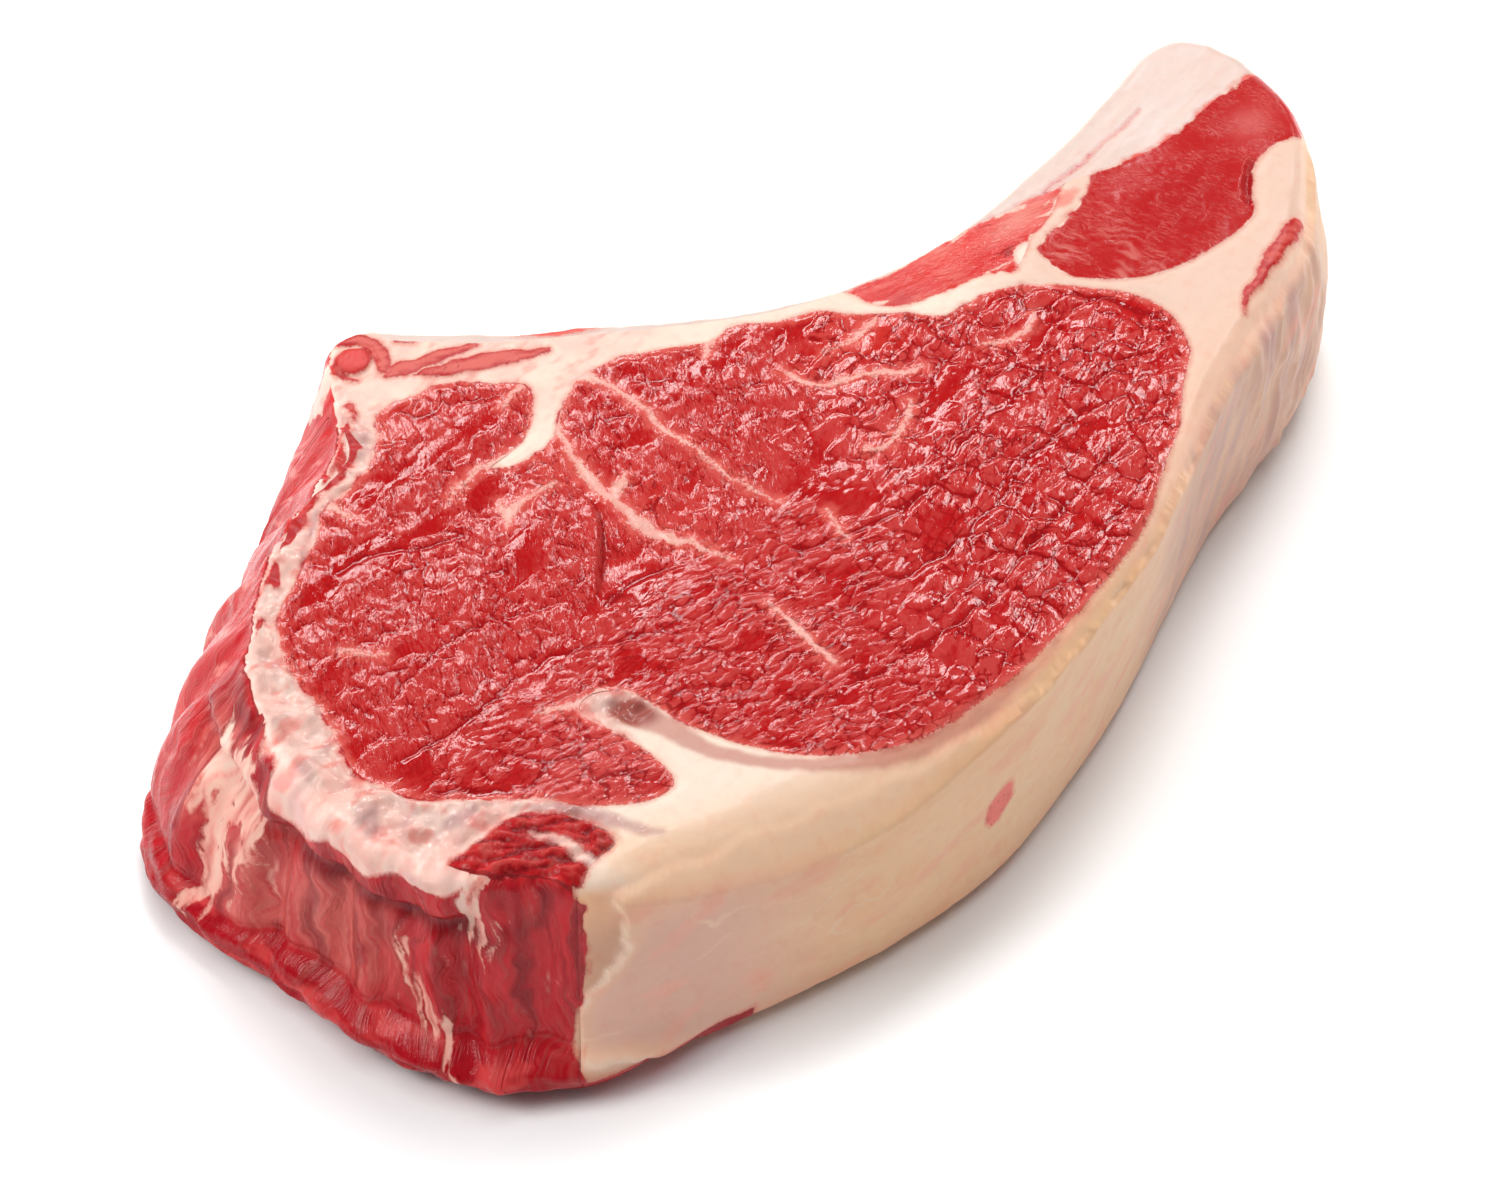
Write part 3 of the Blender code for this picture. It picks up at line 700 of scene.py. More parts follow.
def wall_relief(run, height, outline):
    """How far the outer wall stands out beyond its solid."""
    spot = np.column_stack([run, height])
    first, last = outline.side_run
    tail_start, bone_start = outline.tail_run
    fibres = ripples(
        strands(spot, 11, 2.2, 31), (0.75, (7, 46), 41), (0.38, (2.6, 26), 42), (0.16, (1.3, 14), 43)
    )
    lumps = 1.6 * noise(warped(spot, 9, 2.0, 56), (15, 3.6), 51) + 0.7 * noise(spot, (6, 2.2), 52)
    lip = hump(height - 5.5, 4.5)
    crease = hump(height - (11.5 + 2.2 * noise(spot, (18, 90), 53)), 1.3)
    under = 37.0 + 1.8 * noise(spot, (14, 90), 54)
    overhang = 1.3 * smooth(under - 1.5, under + 2.0, height)
    overhang -= 1.6 * hump(height - under + 2.0, 2.2)
    overhang += 0.7 * noise(spot, (7, 6), 55) * smooth(under, under + 3, height)
    ring = between(run, (84, 96), (168, 158))
    side = between(run, (first - 4, first + 10), (last + 2, last - 5))
    relief = side * (fibres * (1 - 0.9 * lip) + lip * lumps - 1.5 * crease + ring * overhang)

    cap = between(run, (last - 2, last + 8), (tail_start, tail_start - 8))
    relief += cap * (0.45 * noise(spot, (26, 16), 61) + 0.16 * layered(spot, (9, 5), 62))
    relief += cap * 1.2 * smooth(-0.5, 0.4, flap(spot))
    membrane = between(run, (372, 384), (418, 410))
    ridge = np.abs(noise(turned(spot, MEMBRANE_SLANT), (16, 4.2), 63))
    relief += membrane * (1.1 * (0.4 - ridge) + 0.8 * noise(spot, (8, 10), 64))
    bone = smooth(bone_start - 6, bone_start + 6, run)
    relief += bone * (0.3 * noise(spot, (20, 12), 65) + 0.12 * layered(spot, (9, 3), 66))
    chine = smooth(30, 22, run)
    relief += chine * ripples(spot, (0.5, (8, 7), 67), (0.25, (3, 4), 68))
    return relief


def flap(spot):
    """How far inside the thin flap of fat on the cap's left end a wall point is."""
    edge = 186.0 + 4.5 * np.cos((spot[:, 1] - 33) / 9.0) - 6.0 * smooth(38, 20, spot[:, 1])
    edge += 4.0 * smooth(20, 9, spot[:, 1])
    edge += 1.1 * layered(spot, (6, 5), 71)
    low = 8.5 - 0.34 * (spot[:, 0] - 186) + 0.9 * layered(spot, (7, 6), 72)
    high = 44.0 + 0.9 * layered(spot, (8, 6), 73)
    left = np.minimum(spot[:, 0] - edge, spot[:, 1] - low)
    return np.minimum(np.minimum(left, high - spot[:, 1]), 60.0)


def eye_fold(plan):
    """The fold round the eye's lobe: its relief, the hollow beside it, and distance to it."""
    fold = open_curve(FOLD, 0.7)
    away, which = nearest(plan, fold)
    ahead = np.gradient(fold, axis=0)[which]
    offset = plan - fold[which]
    side = np.sign(ahead[:, 0] * offset[:, 1] - ahead[:, 1] * offset[:, 0]) * away
    end = smooth(0, 8, np.minimum(which, len(fold) - 1 - which) * 0.7)
    lobe = smooth(-0.4, 1.6, -side) * np.exp(-away / 7) * end
    hollow = smooth(-0.6, 0.6, side) * hump(away, 6.0) * end
    relief = 1.1 * lobe - 0.7 * hollow - 0.3 * hump(away, 0.5) * end
    return relief, hollow * smooth(9, 7, away), away + 1.5 * (1 - end)


def eye_fields(plan):
    """Relief of the eye's cut face, distance to a crack, smoothness, and its two other zones."""
    x, y = plan.T
    loose = warped(plan, 9, 1.3, 101)
    right = smooth(-8, 14, 0.8 * (x - 12) - 0.35 * (y + 12) + 8 * noise(plan, 16, 102))
    low = smooth(4, -10, y + 4 * noise(plan, 15, 116)) * (1 - right)
    film = smooth(0.15, 0.45, layered(turned(loose, 16), (19, 8), 103))

    def zoned(at_right, at_low, elsewhere):
        return right * at_right + low * at_low + (1 - right - low) * elsewhere

    block_edge, offset, number = cells(turned(loose, 14), (7.4, 4.6), 104)
    turn = 2 * np.pi * number
    blocks = 0.05 * (np.cos(turn) * offset[:, 0] + np.sin(turn) * offset[:, 1])
    blocks += 0.17 * smooth(0, 1.2, block_edge)
    flow = turned(warped(plan, 8, 1.8, 112), -8)
    flow_edge, _, _ = cells(flow, (5.2, 2.5), 115)
    pebbles = 0.18 * smooth(0, 1.0, flow_edge) + 0.1 * noise(flow, (3.0, 1.4), 113)
    steep = turned(warped(plan, 7, 1.0, 108), 66)
    steep_edge, _, steep_number = cells(steep, (7.5, 3.4), 109)
    streaks = 0.16 * noise(steep, (4.4, 1.5), 110) + 0.16 * smooth(0, 1.0, steep_edge)
    steep_gap = steep_edge + 1.5 * smooth(0.55, 0.35, steep_number)

    relief = (1 - 0.75 * film) * zoned(blocks, pebbles, streaks)
    relief = relief + 0.42 * noise(plan, 13, 117) + 0.2 * noise(plan, 5.5, 118)
    gap = zoned(block_edge, flow_edge + 0.1, steep_gap) + 0.9 * film
    crack = veins(warped(plan, 5, 0.8, 119), CRACKS) + 0.3 * noise(plan, 4, 120) - 0.15
    relief -= 0.18 * smooth(-0.9, 0.2, crack)
    gap = np.minimum(gap, 0.15 - crack)

    fold_relief, hollow, fold_gap = eye_fold(plan)
    return {
        "relief": relief + fold_relief,
        "crack": np.minimum(gap, fold_gap),
        "film": np.maximum(film, hollow),
        "right": right,
        "low": low,
    }


def ringness(plan):
    """How much a point belongs to the ring of fat round the eye's left end, from 0 to 1."""
    x, y = plan.T
    return smooth(-26, -20, y + 1.5 * noise(plan, 6, 156)) * smooth(-30, -40, x)


def ring_relief(plan):
    """Soft lumps of the ring, alike on both sides of the seam along it."""
    lumps = 1.3 * layered(plan, 7.0, 155) + 0.45 * noise(plan, 3.0, 158) + 0.12 * noise(plan, 1.6, 221)
    return 0.3 + lumps


def ring_fat(plan):
    """How deep in fat a point of the ring is, in millimetres."""
    bare = smooth(0.1, 0.7, layered(turned(plan, 30), (9, 4), 174)) * smooth(28, 44, plan[:, 1])
    return 1.4 + 0.8 * noise(plan, 5, 157) - 3.4 * bare


def rough_edge(plan):
    """How a boundary between fat and lean wanders, in millimetres."""
    ragged = 0.35 + 0.65 * smooth(10, -30, plan[:, 0]) * smooth(-40, -15, plan[:, 1])
    ragged += 0.7 * smooth(55, 75, plan[:, 0]) * smooth(-8, 6, plan[:, 1])
    return ragged * (1.1 * noise(plan, 5.5, 121) + 0.6 * noise(plan, 2.2, 122))


def tinted(base, plan, tints):
    """A colour with soft patches of others: x, y, two radii, colour and share."""
    tone = plain(base, plan)
    for x, y, wide, high, colour, share in tints:
        away = ((plan[:, 0] - x) / wide) ** 2 + ((plan[:, 1] - y) / high) ** 2
        tone = coated(tone, (colour, share * np.exp(-away)))
    return tone


def spots(points, table):
    """The deepest of several ellipses at each wall point: run, height, two radii, turn."""
    found = np.full(len(points), -9.0)
    for x, y, wide, high, degrees in table:
        found = np.maximum(found, blob(points, (x, y), (wide, high), degrees))
    return found


# Soft patches of other colours on a cut face: x, y, two radii, colour and share
EYE_TINTS = (
    (-33, 63, 9, 5, (222, 70, 62), 0.5),
    (-64, -27, 11, 9, (226, 96, 92), 0.45),
    (50, 17, 14, 7, (226, 60, 48), 0.6),
    (-19, 34, 5, 6, (228, 80, 70), 0.6),
    (-12, 12, 9, 12, (216, 56, 50), 0.5),
    (89, -18, 6, 9, (204, 16, 18), 0.8),
    (-27, 11, 4, 9, (204, 40, 40), 0.8),
    (-80, 8, 10, 24, (188, 16, 20), 0.5),
    (-58, 40, 26, 16, (186, 6, 10), 0.7),
    (30, -4, 8, 6, (222, 74, 66), 0.4),
    (10, -50, 50, 9, (192, 12, 18), 0.5),
)

INTERCOSTAL_TINTS = (
    (59, 18, 5, 2.4, (190, 28, 28), 0.7),
    (92, 17.5, 9, 2.6, (248, 158, 142), 0.7),
    (76, 20, 12, 3, (240, 74, 62), 0.6),
)
TAIL_TINTS = (
    (146, 4, 5, 4, (232, 120, 116), 0.6),
    (120, -2, 12, 8, (186, 26, 30), 0.6),
    (152, 4, 4, 7, (206, 44, 42), 0.5),
)

# Lines on the cut faces, as points x, y and half width: red streaks in the fat by the chine and
# near the tip, grey lines and spots of the ring, what shows on the rib, a dent in the tail, and
# the strip of fat between the two red lobes at the cap's left end
RED_STREAKS = (
    ((-25, 73, 0.8), (-22, 72.6, 2.2), (-18, 71, 1.6), (-13, 69.4, 1.4),
     (-7.5, 66.8, 0.6)),
    ((-21.5, 69.5, 0.5), (-17, 66.8, 1.8), (-11, 63.6, 2.2), (-5, 60.2, 2),
     (1.5, 56.6, 0.8)),
    ((-25.5, 86.2, 1.2), (-22.2, 83.5, 1.7), (-22, 79, 1.9), (-24.4, 75.2, 1.4)),
    ((-31, 83.5, 0.6), (-31.4, 80, 0.9), (-30, 76.6, 0.6)),
    ((-17.5, 78.8, 0.6), (-15, 76.2, 0.7)),
    ((104, -31.2, 0.3), (108, -28.6, 0.9), (117, -25.8, 1.3), (126, -23, 1.6),
     (131, -22, 1.2)),
    ((-37.5, 69, 0.5), (-35.5, 72, 0.9)),
)
RIM = (
    (-51.5, -20.5, 3.4), (-49.5, -27, 2.4), (-47.2, -37, 1.6), (-42, -46.5, 1.5),
    (-35, -54, 1.5), (-26, -59.8, 1.4), (-16, -63, 1.2), (-6, -64.6, 1.1),
    (9, -64.7, 0.9), (24, -62.8, 0.8), (38, -60.3, 0.5),
)
GREY_BLOTCHES = (
    ((-80, -24.5, 0.8), (-74, -30.5, 1.5), (-71, -37.5, 1.6), (-67, -44.5, 0.9)),
    ((-92, -17, 1.5), (-88, -18, 1.2)),
)
BONE_VEIN = (
    (100, 18.6, 0.2), (104, 19.3, 0.5), (112, 19.4, 0.5), (117, 20.3, 0.4),
    (121, 20.9, 0.2), (127, 21.2, 0.35), (133, 22.2, 0.15),
)
BONE_MEAT = (
    ((88, 20, 0.8), (94, 18.5, 1.8), (101, 17.2, 1.6), (106, 16.8, 0.6)),
)
TAIL_DENT = ((128, -11.5, 0.5), (132, -8, 0.9), (137.5, -4, 0.5))
LOBE_FAT = ((-83.5, -29, 0.3), (-81.5, -33.5, 1.1), (-80.5, -38.5, 1.4), (-80, -43.5, 1))

# Fat and see-through skin on the ragged side wall: run, height, two radii and turn
SIDE_FAT = (
    (113, 36, 5.5, 7, 20),
    (106, 34, 3, 8, 14),
    (110, 22, 2.6, 12, -6),
    (118, 27, 1.6, 8, -10),
    (165.5, 41, 2, 8, -8),
    (167.5, 34, 1.1, 4, -12),
    (151.5, 20, 1, 6, 10),
    (156.5, 13, 1.4, 5, 24),
)
SIDE_FILM = (
    (138, 24, 12, 14, 0),
    (120, 22, 9, 13, 0),
    (104, 34, 9, 10, 0),
    (70, 26, 16, 9, 0),
)


def strands(spot, size=10, reach=2, seed=161):
    """Wall points in axes across and along the fibres that hang down the side wall."""
    strand = warped(spot, size, reach, seed)
    strand[:, 0] += STRAND_SLANT * (spot[:, 1] - THICKNESS / 2)
    return strand


def cap_edge(spot):
    """How far a wall point is past the ragged edge between the side wall and the cap's fat."""
    height = spot[:, 1]
    edge = 182.3 + 1.3 * np.cos((height - 31) / 7.0) + 1.8 * smooth(14, 6, height)
    edge += 1.1 * layered(spot, (4, 8), 178) + 0.6 * noise(spot, (1.4, 5), 179)
    return spot[:, 0] - edge


def side_colours(spot):
    """Colours of the lean on the side wall and on what shows of it under the cap's fat, with painted shade.
    """
    run, height = spot.T
    strand = strands(spot)
    fibre = patchy(strand, (3.4, 34), 162)
    fine = patchy(strand, (1.0, 15), 163, 1)
    finer = patchy(strand, (0.6, 9), 180, 1)
    lip = smooth(13, 9, height + 2 * noise(spot, (14, 60), 181))
    film = smooth(-4, 5, spots(strand, SIDE_FILM) + 2.5 * noise(strand, (4, 16), 164)) * (1 - lip)
    fine, finer = fine * (1 - 0.7 * lip), finer * (1 - 0.4 * lip)
    hair = smooth(0.45, 0.9, noise(strand, (0.8, 16), 191)) * smooth(-0.2, 0.4, noise(spot, (12, 14), 192))
    dip = smooth(0.2, -0.7, layered(strand, (2.6, 30), 177))
    # Painted shade under the overhanging ring: a band just under it, and patchy darkening from 30 to 38 mm
    # up
    under = hump(height - 34.5 - 1.5 * noise(spot, (9, 60), 193), 2.6)
    painted_shade_high = smooth(0.15, 0.6, layered(spot, (9, 14), 165)) * smooth(30, 38, height)
    fold = smooth(0.0, 0.7, layered(warped(spot, 8, 1.5, 182), (11, 2.2), 183))
    back = smooth(100, 84, run)
    marble = noise(turned(warped(spot, 8, 2.0, 219), 55), (12, 2.0), 220)
    return coated(
        plain(SIDE_RED, spot),
        (SIDE_FIBRE, np.clip(fibre * 0.8, 0, 1)),
        (SIDE_FINE, np.clip(0.7 * fine * finer, 0, 1)),
        (SIDE_FILM_AND_PAINTED_SHEEN, np.clip(film * (0.9 * fine + 0.5 * finer - 0.2), 0, 0.8)),
        (SIDE_HAIR, 0.6 * hair),
        (SIDE_DIP, 0.6 * dip),
        (UNDER_RING_PAINTED_SHADE, 0.75 * under * smooth(120, 130, run) * smooth(172, 164, run)),
        (SIDE_PAINTED_SHADE_HIGH, 0.6 * painted_shade_high),
        (LIP_RED, 0.75 * lip),
        (LIP_FOLD, 0.6 * lip * fold),
        (BACK_RED, 0.8 * back),
        (BACK_FIBRE, np.clip(0.6 * back * (fine + fibre - 1.0), 0, 1)),
        (BACK_MARBLE, 0.7 * back * smooth(0.45, 0.75, marble)),
    )


def common_fields(points, seam_distance):
    """Fields that every piece starts from, before its own paint."""
    place = points.place()
    height = place[:, 2]
    count = len(points.plan)
    return {
        "place": place,
        "height": height,
        "wall": smooth(2.2, 0.2, points.depth),
        "spot": np.column_stack([points.run, height]),
        "relief": np.zeros(count),
        "fat": seam_distance + rough_edge(points.plan),
        "crack": np.full(count, 3.0),
        "film": np.zeros(count),
        "blotch": np.zeros(count),
        "cream": plain(CREAM, points.plan),
        "tone": plain(RED, points.plan),
        "grain": np.column_stack([points.plan, height]),
    }


def grain_along(plan, degrees, stretch):
    """Coordinates for fine texture, drawn out along a direction."""
    along = turned(plan, degrees)
    return np.column_stack([along[:, 0] / stretch, along[:, 1], 0 * along[:, 0]])


def paint_eye(points, seam_distance):
    fields = common_fields(points, -seam_distance)
    plan = points.plan
    face = eye_fields(plan)
    marble = veins(warped(plan, 3.5, 0.7, 131), MARBLING) + 0.08
    streak = noise(turned(warped(plan, 10, 2, 132), 55), (7, 0.9), 133)
    speckle = 1.1 * smooth(0.5, 1.0, streak) * smooth(-10, 5, plan[:, 1]) - 1.2
    shown = np.maximum(fields["fat"], marble)
    near_fat = smooth(2.4, 0.0, 0.7 * noise(plan, 1.8, 135) - shown)
    fade = smooth(0.1, 1.6, seam_distance)
    fields |= face
    fields["fat"] = np.maximum(shown, speckle)
    fields["tone"] = coated(tinted(RED, plan, EYE_TINTS), (PALE_BY_FAT, 0.75 * near_fat))
    fields["cream"] = coated(fields["cream"], (EYE_FAT, 0.45 + 0.45 * patchy(plan, 6, 134)))
    fields["relief"] = face["relief"] * fade + 0.15 * smooth(-0.6, 0.4, marble)
    fields["crack"] = face["crack"] + 0.5 * (1 - fade)
    return fields


def ring_cream(plan):
    """The ring's own colours: pinkish white, greyer and see-through in spots."""
    return coated(
        plain(RING_FAT, plan),
        (PINK_FAT, np.clip(patchy(plan, 6, 141), 0, 1)),
        (RING_BLUSH, 0.6 * smooth(0.15, 0.7, layered(plan, (5.0, 3.6), 195))),
        (RING_CLEAR, 0.5 * smooth(0.1, 0.8, layered(turned(plan, 35), (9.0, 4.5), 159))),
    )


def cap_wall(spot, lumpy):
    """Colours of the fat on the cap's wall and the chine's."""
    run, height = spot.T
    inner = flap(spot)
    lines = np.abs(noise(turned(warped(spot, 12, 2.5, 213), 12), (34, 9), 214))
    some = smooth(-0.1, 0.4, noise(spot, (20, 14), 215))
    film = patchy(turned(spot, MEMBRANE_SLANT), (22, 5), 145)
    tan = coated(
        plain(WALL_FAT, spot),
        (WALL_TAN, patchy(spot, (22, 9), 144)),
        (FLAP_FAT, smooth(-3, 5, inner) * smooth(240, 200, run)),
        (FLAP_SHADE, smooth(0.6, -0.4, inner) * smooth(200, 194, run)),
        (FLAP_EDGE, 0.4 * hump(inner, 0.9) * smooth(240, 225, run)),
        (WALL_TOP, 0.5 * smooth(33, 44, height) * smooth(380, 340, run)),
        (WALL_LINES, 0.5 * smooth(0.05, 0.0, lines) * some),
        (MEMBRANE, np.clip(between(run, (310, 352), (424, 404)) * (0.3 + 0.7 * film), 0, 1)),
        (WALL_PINK, 0.35 * smooth(0.2, 0.8, layered(turned(spot, 20), (20, 7), 146))),
        (WALL_FOOT, 0.45 * smooth(7, 2, height)),
    )
    chine = smooth(34, 26, run) * (1 - smooth(600, 640, run))
    return np.where(chine[:, None] > 0.5, blend(plain(PINK_FAT, spot), linear(CREAM), lumpy), tan)


def paint_fat(points, seams, eye_distance, side_distance, other_distance):
    plan, run = points.plan, points.run
    x, y = plan.T
    ring = ringness(plan)
    seam_distance = np.minimum.reduce([eye_distance, side_distance + 9 * ring, other_distance])
    fields = common_fields(points, seam_distance)
    spot, wall, height = fields["spot"], fields["wall"], fields["height"]
    _, which = nearest(plan, seams["lean_points"])
    tone = seams["lean_tones"][which]

    lumpy = patchy(plan, 7, 141)
    behind = smooth(40, 50, y) * smooth(-50, -40, x)
    left = np.maximum(ring, smooth(-68, -76, x) * smooth(-44, -36, y))
    warm = smooth(16, 2, points.depth) * smooth(-84, -72, x) * smooth(-20, -40, y)
    patch = blob(plan, (-50.8, -20.8), (3.4, 5.4), 20)
    blotch = veins(warped(plan, 6, 0.8, 143), GREY_BLOTCHES)
    meaty = blob(warped(plan, 4, 0.8, 216), (99.5, 16.0), (7.0, 1.9), -16)
    cream = coated(
        plain(CREAM, plan),
        (PINK_FAT, np.clip(0.9 * behind * lumpy, 0, 1)),
        (WEDGE_PINK, behind * smooth(0.1, 0.8, layered(plan, (6, 3), 137)) * 0.5),
        (ring_cream(plan), left),
        (WARM_CREAM, 0.85 * warm),
        (TIP_CREAM, 0.7 * smooth(60, 84, x - 0.5 * y)),
        (GREY_FAT, 0.75 * smooth(-0.9, 0.7, veins(warped(plan, 5, 0.4, 142), (RIM,)))),
        (PATCH_BROWN, 0.85 * smooth(-0.8, 1.4, patch)),
        (MAUVE, 0.6 * smooth(-0.8, 1.2, blotch)),
        (MEATY_PINK, 0.8 * smooth(-0.6, 0.6, meaty)),
    )
    fields["cream"] = blend(cream, cap_wall(spot, lumpy), wall)

    streak = veins(warped(plan, 5, 0.6, 147), RED_STREAKS)
    nub = blob(plan, (-27.2, 80.6), (3.8, 3.4)) + 0.4 * noise(plan, 2.5, 148)
    by_side = ring * smooth(4, 1, side_distance)
    thin = smooth(44, 54, y) * smooth(-35, -41, x)
    band = 2.9 + 1.1 * layered(plan, 4.0, 138) - eye_distance + 90 * (1 - thin)
    fat = np.minimum.reduce([fields["fat"], ring_fat(plan) + 6 * (1 - by_side), band])
    fat = np.where(wall < 0.5, np.minimum(fat, -np.maximum(streak, nub)), fat)
    strip = np.minimum(6.5 - height + 1.2 * noise(spot, (9, 4), 149), 213 - run)
    wall_spot = blob(warped(spot, 4, 0.8, 150), (269.5, 22.5), (3.2, 4.6), -30)
    chine_red = layered(spot, (8, 6), 151) * 3 - 0.4 + 2.5 * smooth(18, 27, run)
    wall_red = np.maximum(np.minimum(strip, run - 150), wall_spot)
    wall_red = np.maximum(wall_red, np.where(run < 30, chine_red, -9))
    wall_fat = np.where(run > 150, np.minimum(2 * cap_edge(spot), 4.0), 4.0)
    fields["fat"] = np.where(wall > 0.5, np.minimum(wall_fat, -wall_red), fat)

    core = smooth(0.2, 1.4, streak + 0.9 * layered(turned(plan, -34), (6, 1.2), 136))
    wall_tone = coated(side_colours(spot), (SPOT_RED, smooth(-2, 0, wall_spot)))
    fields["tone"] = coated(
        tone,
        (NUB_RED, smooth(-0.5, 1.0, nub)),
        (STREAK_RED, smooth(-1.0, 0.0, streak)),
        (STREAK_CORE, 0.7 * core),
        (wall_tone, wall),
    )

    fields["blotch"] = np.clip(np.maximum(0.8 * left, smooth(-1.5, 1.0, blotch)), 0, 1) * (1 - 0.8 * wall)
    relief = 0.3 * smooth(0, 3, seam_distance) + 0.22 * noise(plan, 8, 153)
    relief += 0.06 * layered(plan, 3.2, 154)
    relief = relief * (1 - left) + ring_relief(plan) * left
    relief += 0.7 * smooth(-0.8, 1.2, nub) - 0.3 * hump(nub + 0.6, 0.5)
    relief += 0.25 * smooth(-0.4, 0.6, streak) - 0.35 * smooth(-0.6, 1.5, patch)
    by_lean = smooth(0.1, 1.4, np.minimum(eye_distance, other_distance))
    by_lobes = ring + (1 - ring) * smooth(0.1, 1.4, side_distance)
    fields["relief"] = relief * by_lean * by_lobes
    return fields


def paint_side(points, seam_distance):
    fields = common_fields(points, -seam_distance)
    plan, run = points.plan, points.run
    spot, wall, height = fields["spot"], fields["wall"], fields["height"]
    belongs = ringness(plan)
    front = smooth(-14, -22, plan[:, 1])
    folds = layered(turned(warped(plan, 5, 0.8, 185), -42), (8, 1.5), 186)
    fields["tone"] = coated(
        plain(SIDE_TOP, plan),
        (SIDE_STRIPE, 0.4 * patchy(turned(plan, 20), (8, 1.3), 166, 1)),
        (LOBE_RED, 0.8 * front),
        # Painted shade in the hollows of the lobe's folds and painted glints on their ridges, which the
        # folds also raise
        (LOBE_FOLD_PAINTED_SHADE, 0.8 * front * smooth(0.1, -0.5, folds)),
        (LOBE_FOLD_PAINTED_GLINT, 0.5 * front * smooth(0.1, 0.6, folds)),
        (side_colours(spot), wall),
    )

    strand = strands(spot)
    white = 1.5 * spots(warped(strand, 5, 1.6, 167), SIDE_FAT)
    white += 2.6 * noise(strand, (1.5, 14), 168) + 1.6 * noise(strand, (0.7, 8), 169)
    under = 39.5 + 2.6 * noise(spot, (10, 60), 171) + 9 * smooth(124, 108, run)
    over = np.where(between(run, (88, 98), (166, 158)) > 0.4, (height - under) * 0.8, -9.0)
    white = np.maximum(white, over - 4 * smooth(-0.2, 0.5, noise(spot, (12, 9), 172)))
    white = np.maximum(white, 2 * cap_edge(spot))
    top_fat = fields["fat"] * (1 - belongs) + ring_fat(plan) * belongs
    fibres = 2.0 * layered(turned(warped(plan, 6, 1.2, 190), 38), (9, 1.4), 188) - 0.7
    outer = smooth(42, 50, plan[:, 1]) * smooth(0.2, 1.6, seam_distance + noise(plan, 3, 189))
    top_fat = top_fat * (1 - outer) + fibres * outer
    top_fat = np.maximum(top_fat, veins(warped(plan, 4, 0.8, 187), (LOBE_FAT,)))
    fields["fat"] = np.where(wall > 0.5, white, top_fat)

    fine = patchy(strand, (1.0, 15), 163, 1)
    pale = coated(
        plain(PINK_FAT, plan),
        (CREAM, fine),
        (LOW_FAT, 0.6 * smooth(40, 28, height)),
        (fields["tone"], np.clip(0.75 - fine + 0.4 * noise(strand, (2.2, 9), 194), 0, 0.8)),
        (ring_cream(warped(spot, 8, 2.0, 222)), smooth(-1.5, 0.5, over)),
        (LAST_FAT, smooth(174, 180, run)),
    )
    fields["cream"] = blend(ring_cream(plan), pale, wall)
    lobes = 0.5 * layered(plan, 6, 175) + 0.3 * noise(turned(plan, 20), (7, 1.5), 176)
    lobes = (0.6 + lobes + 0.5 * front * folds) * smooth(0.1, 1.6, seam_distance)
    fields["relief"] = ring_relief(plan) * belongs + lobes * (1 - belongs)
    fields["blotch"] = 0.7 * belongs * (1 - wall)
    grain = np.column_stack([strand[:, 0], strand[:, 1] / 6, 0 * height])
    fields["grain"] = np.where(wall[:, None] > 0.5, grain, grain_along(plan, 20, 4.0))
    return fields


def paint_intercostal(points, seam_distance):
    fields = common_fields(points, -seam_distance)
    plan = points.plan
    along = turned(warped(plan, 8, 1.0, 181), -14)
    fibre = noise(along, (12, 1.3), 182)
    white = 1.5 * smooth(0.3, 0.9, noise(along, (14, 2.2), 183)) - 0.9
    piece = blob(plan, (86.0, 9.6), (3.6, 2.4), 30)
    relief = 0.08 * noise(along, (10, 3.6), 184) + 0.05 * fibre
    fields["tone"] = coated(
        tinted(ORANGE_RED, plan, INTERCOSTAL_TINTS), (INTERCOSTAL_FIBRE, 0.5 * smooth(0.0, 0.8, fibre))
    )
    fields["fat"] = np.maximum.reduce([fields["fat"], white, piece])
    fields["relief"] = relief * smooth(0.1, 1.2, seam_distance)
    fields["crack"] = 1.2 - 1.1 * smooth(-0.2, -0.7, fibre)
    fields["grain"] = grain_along(plan, -14, 4.0)
    return fields


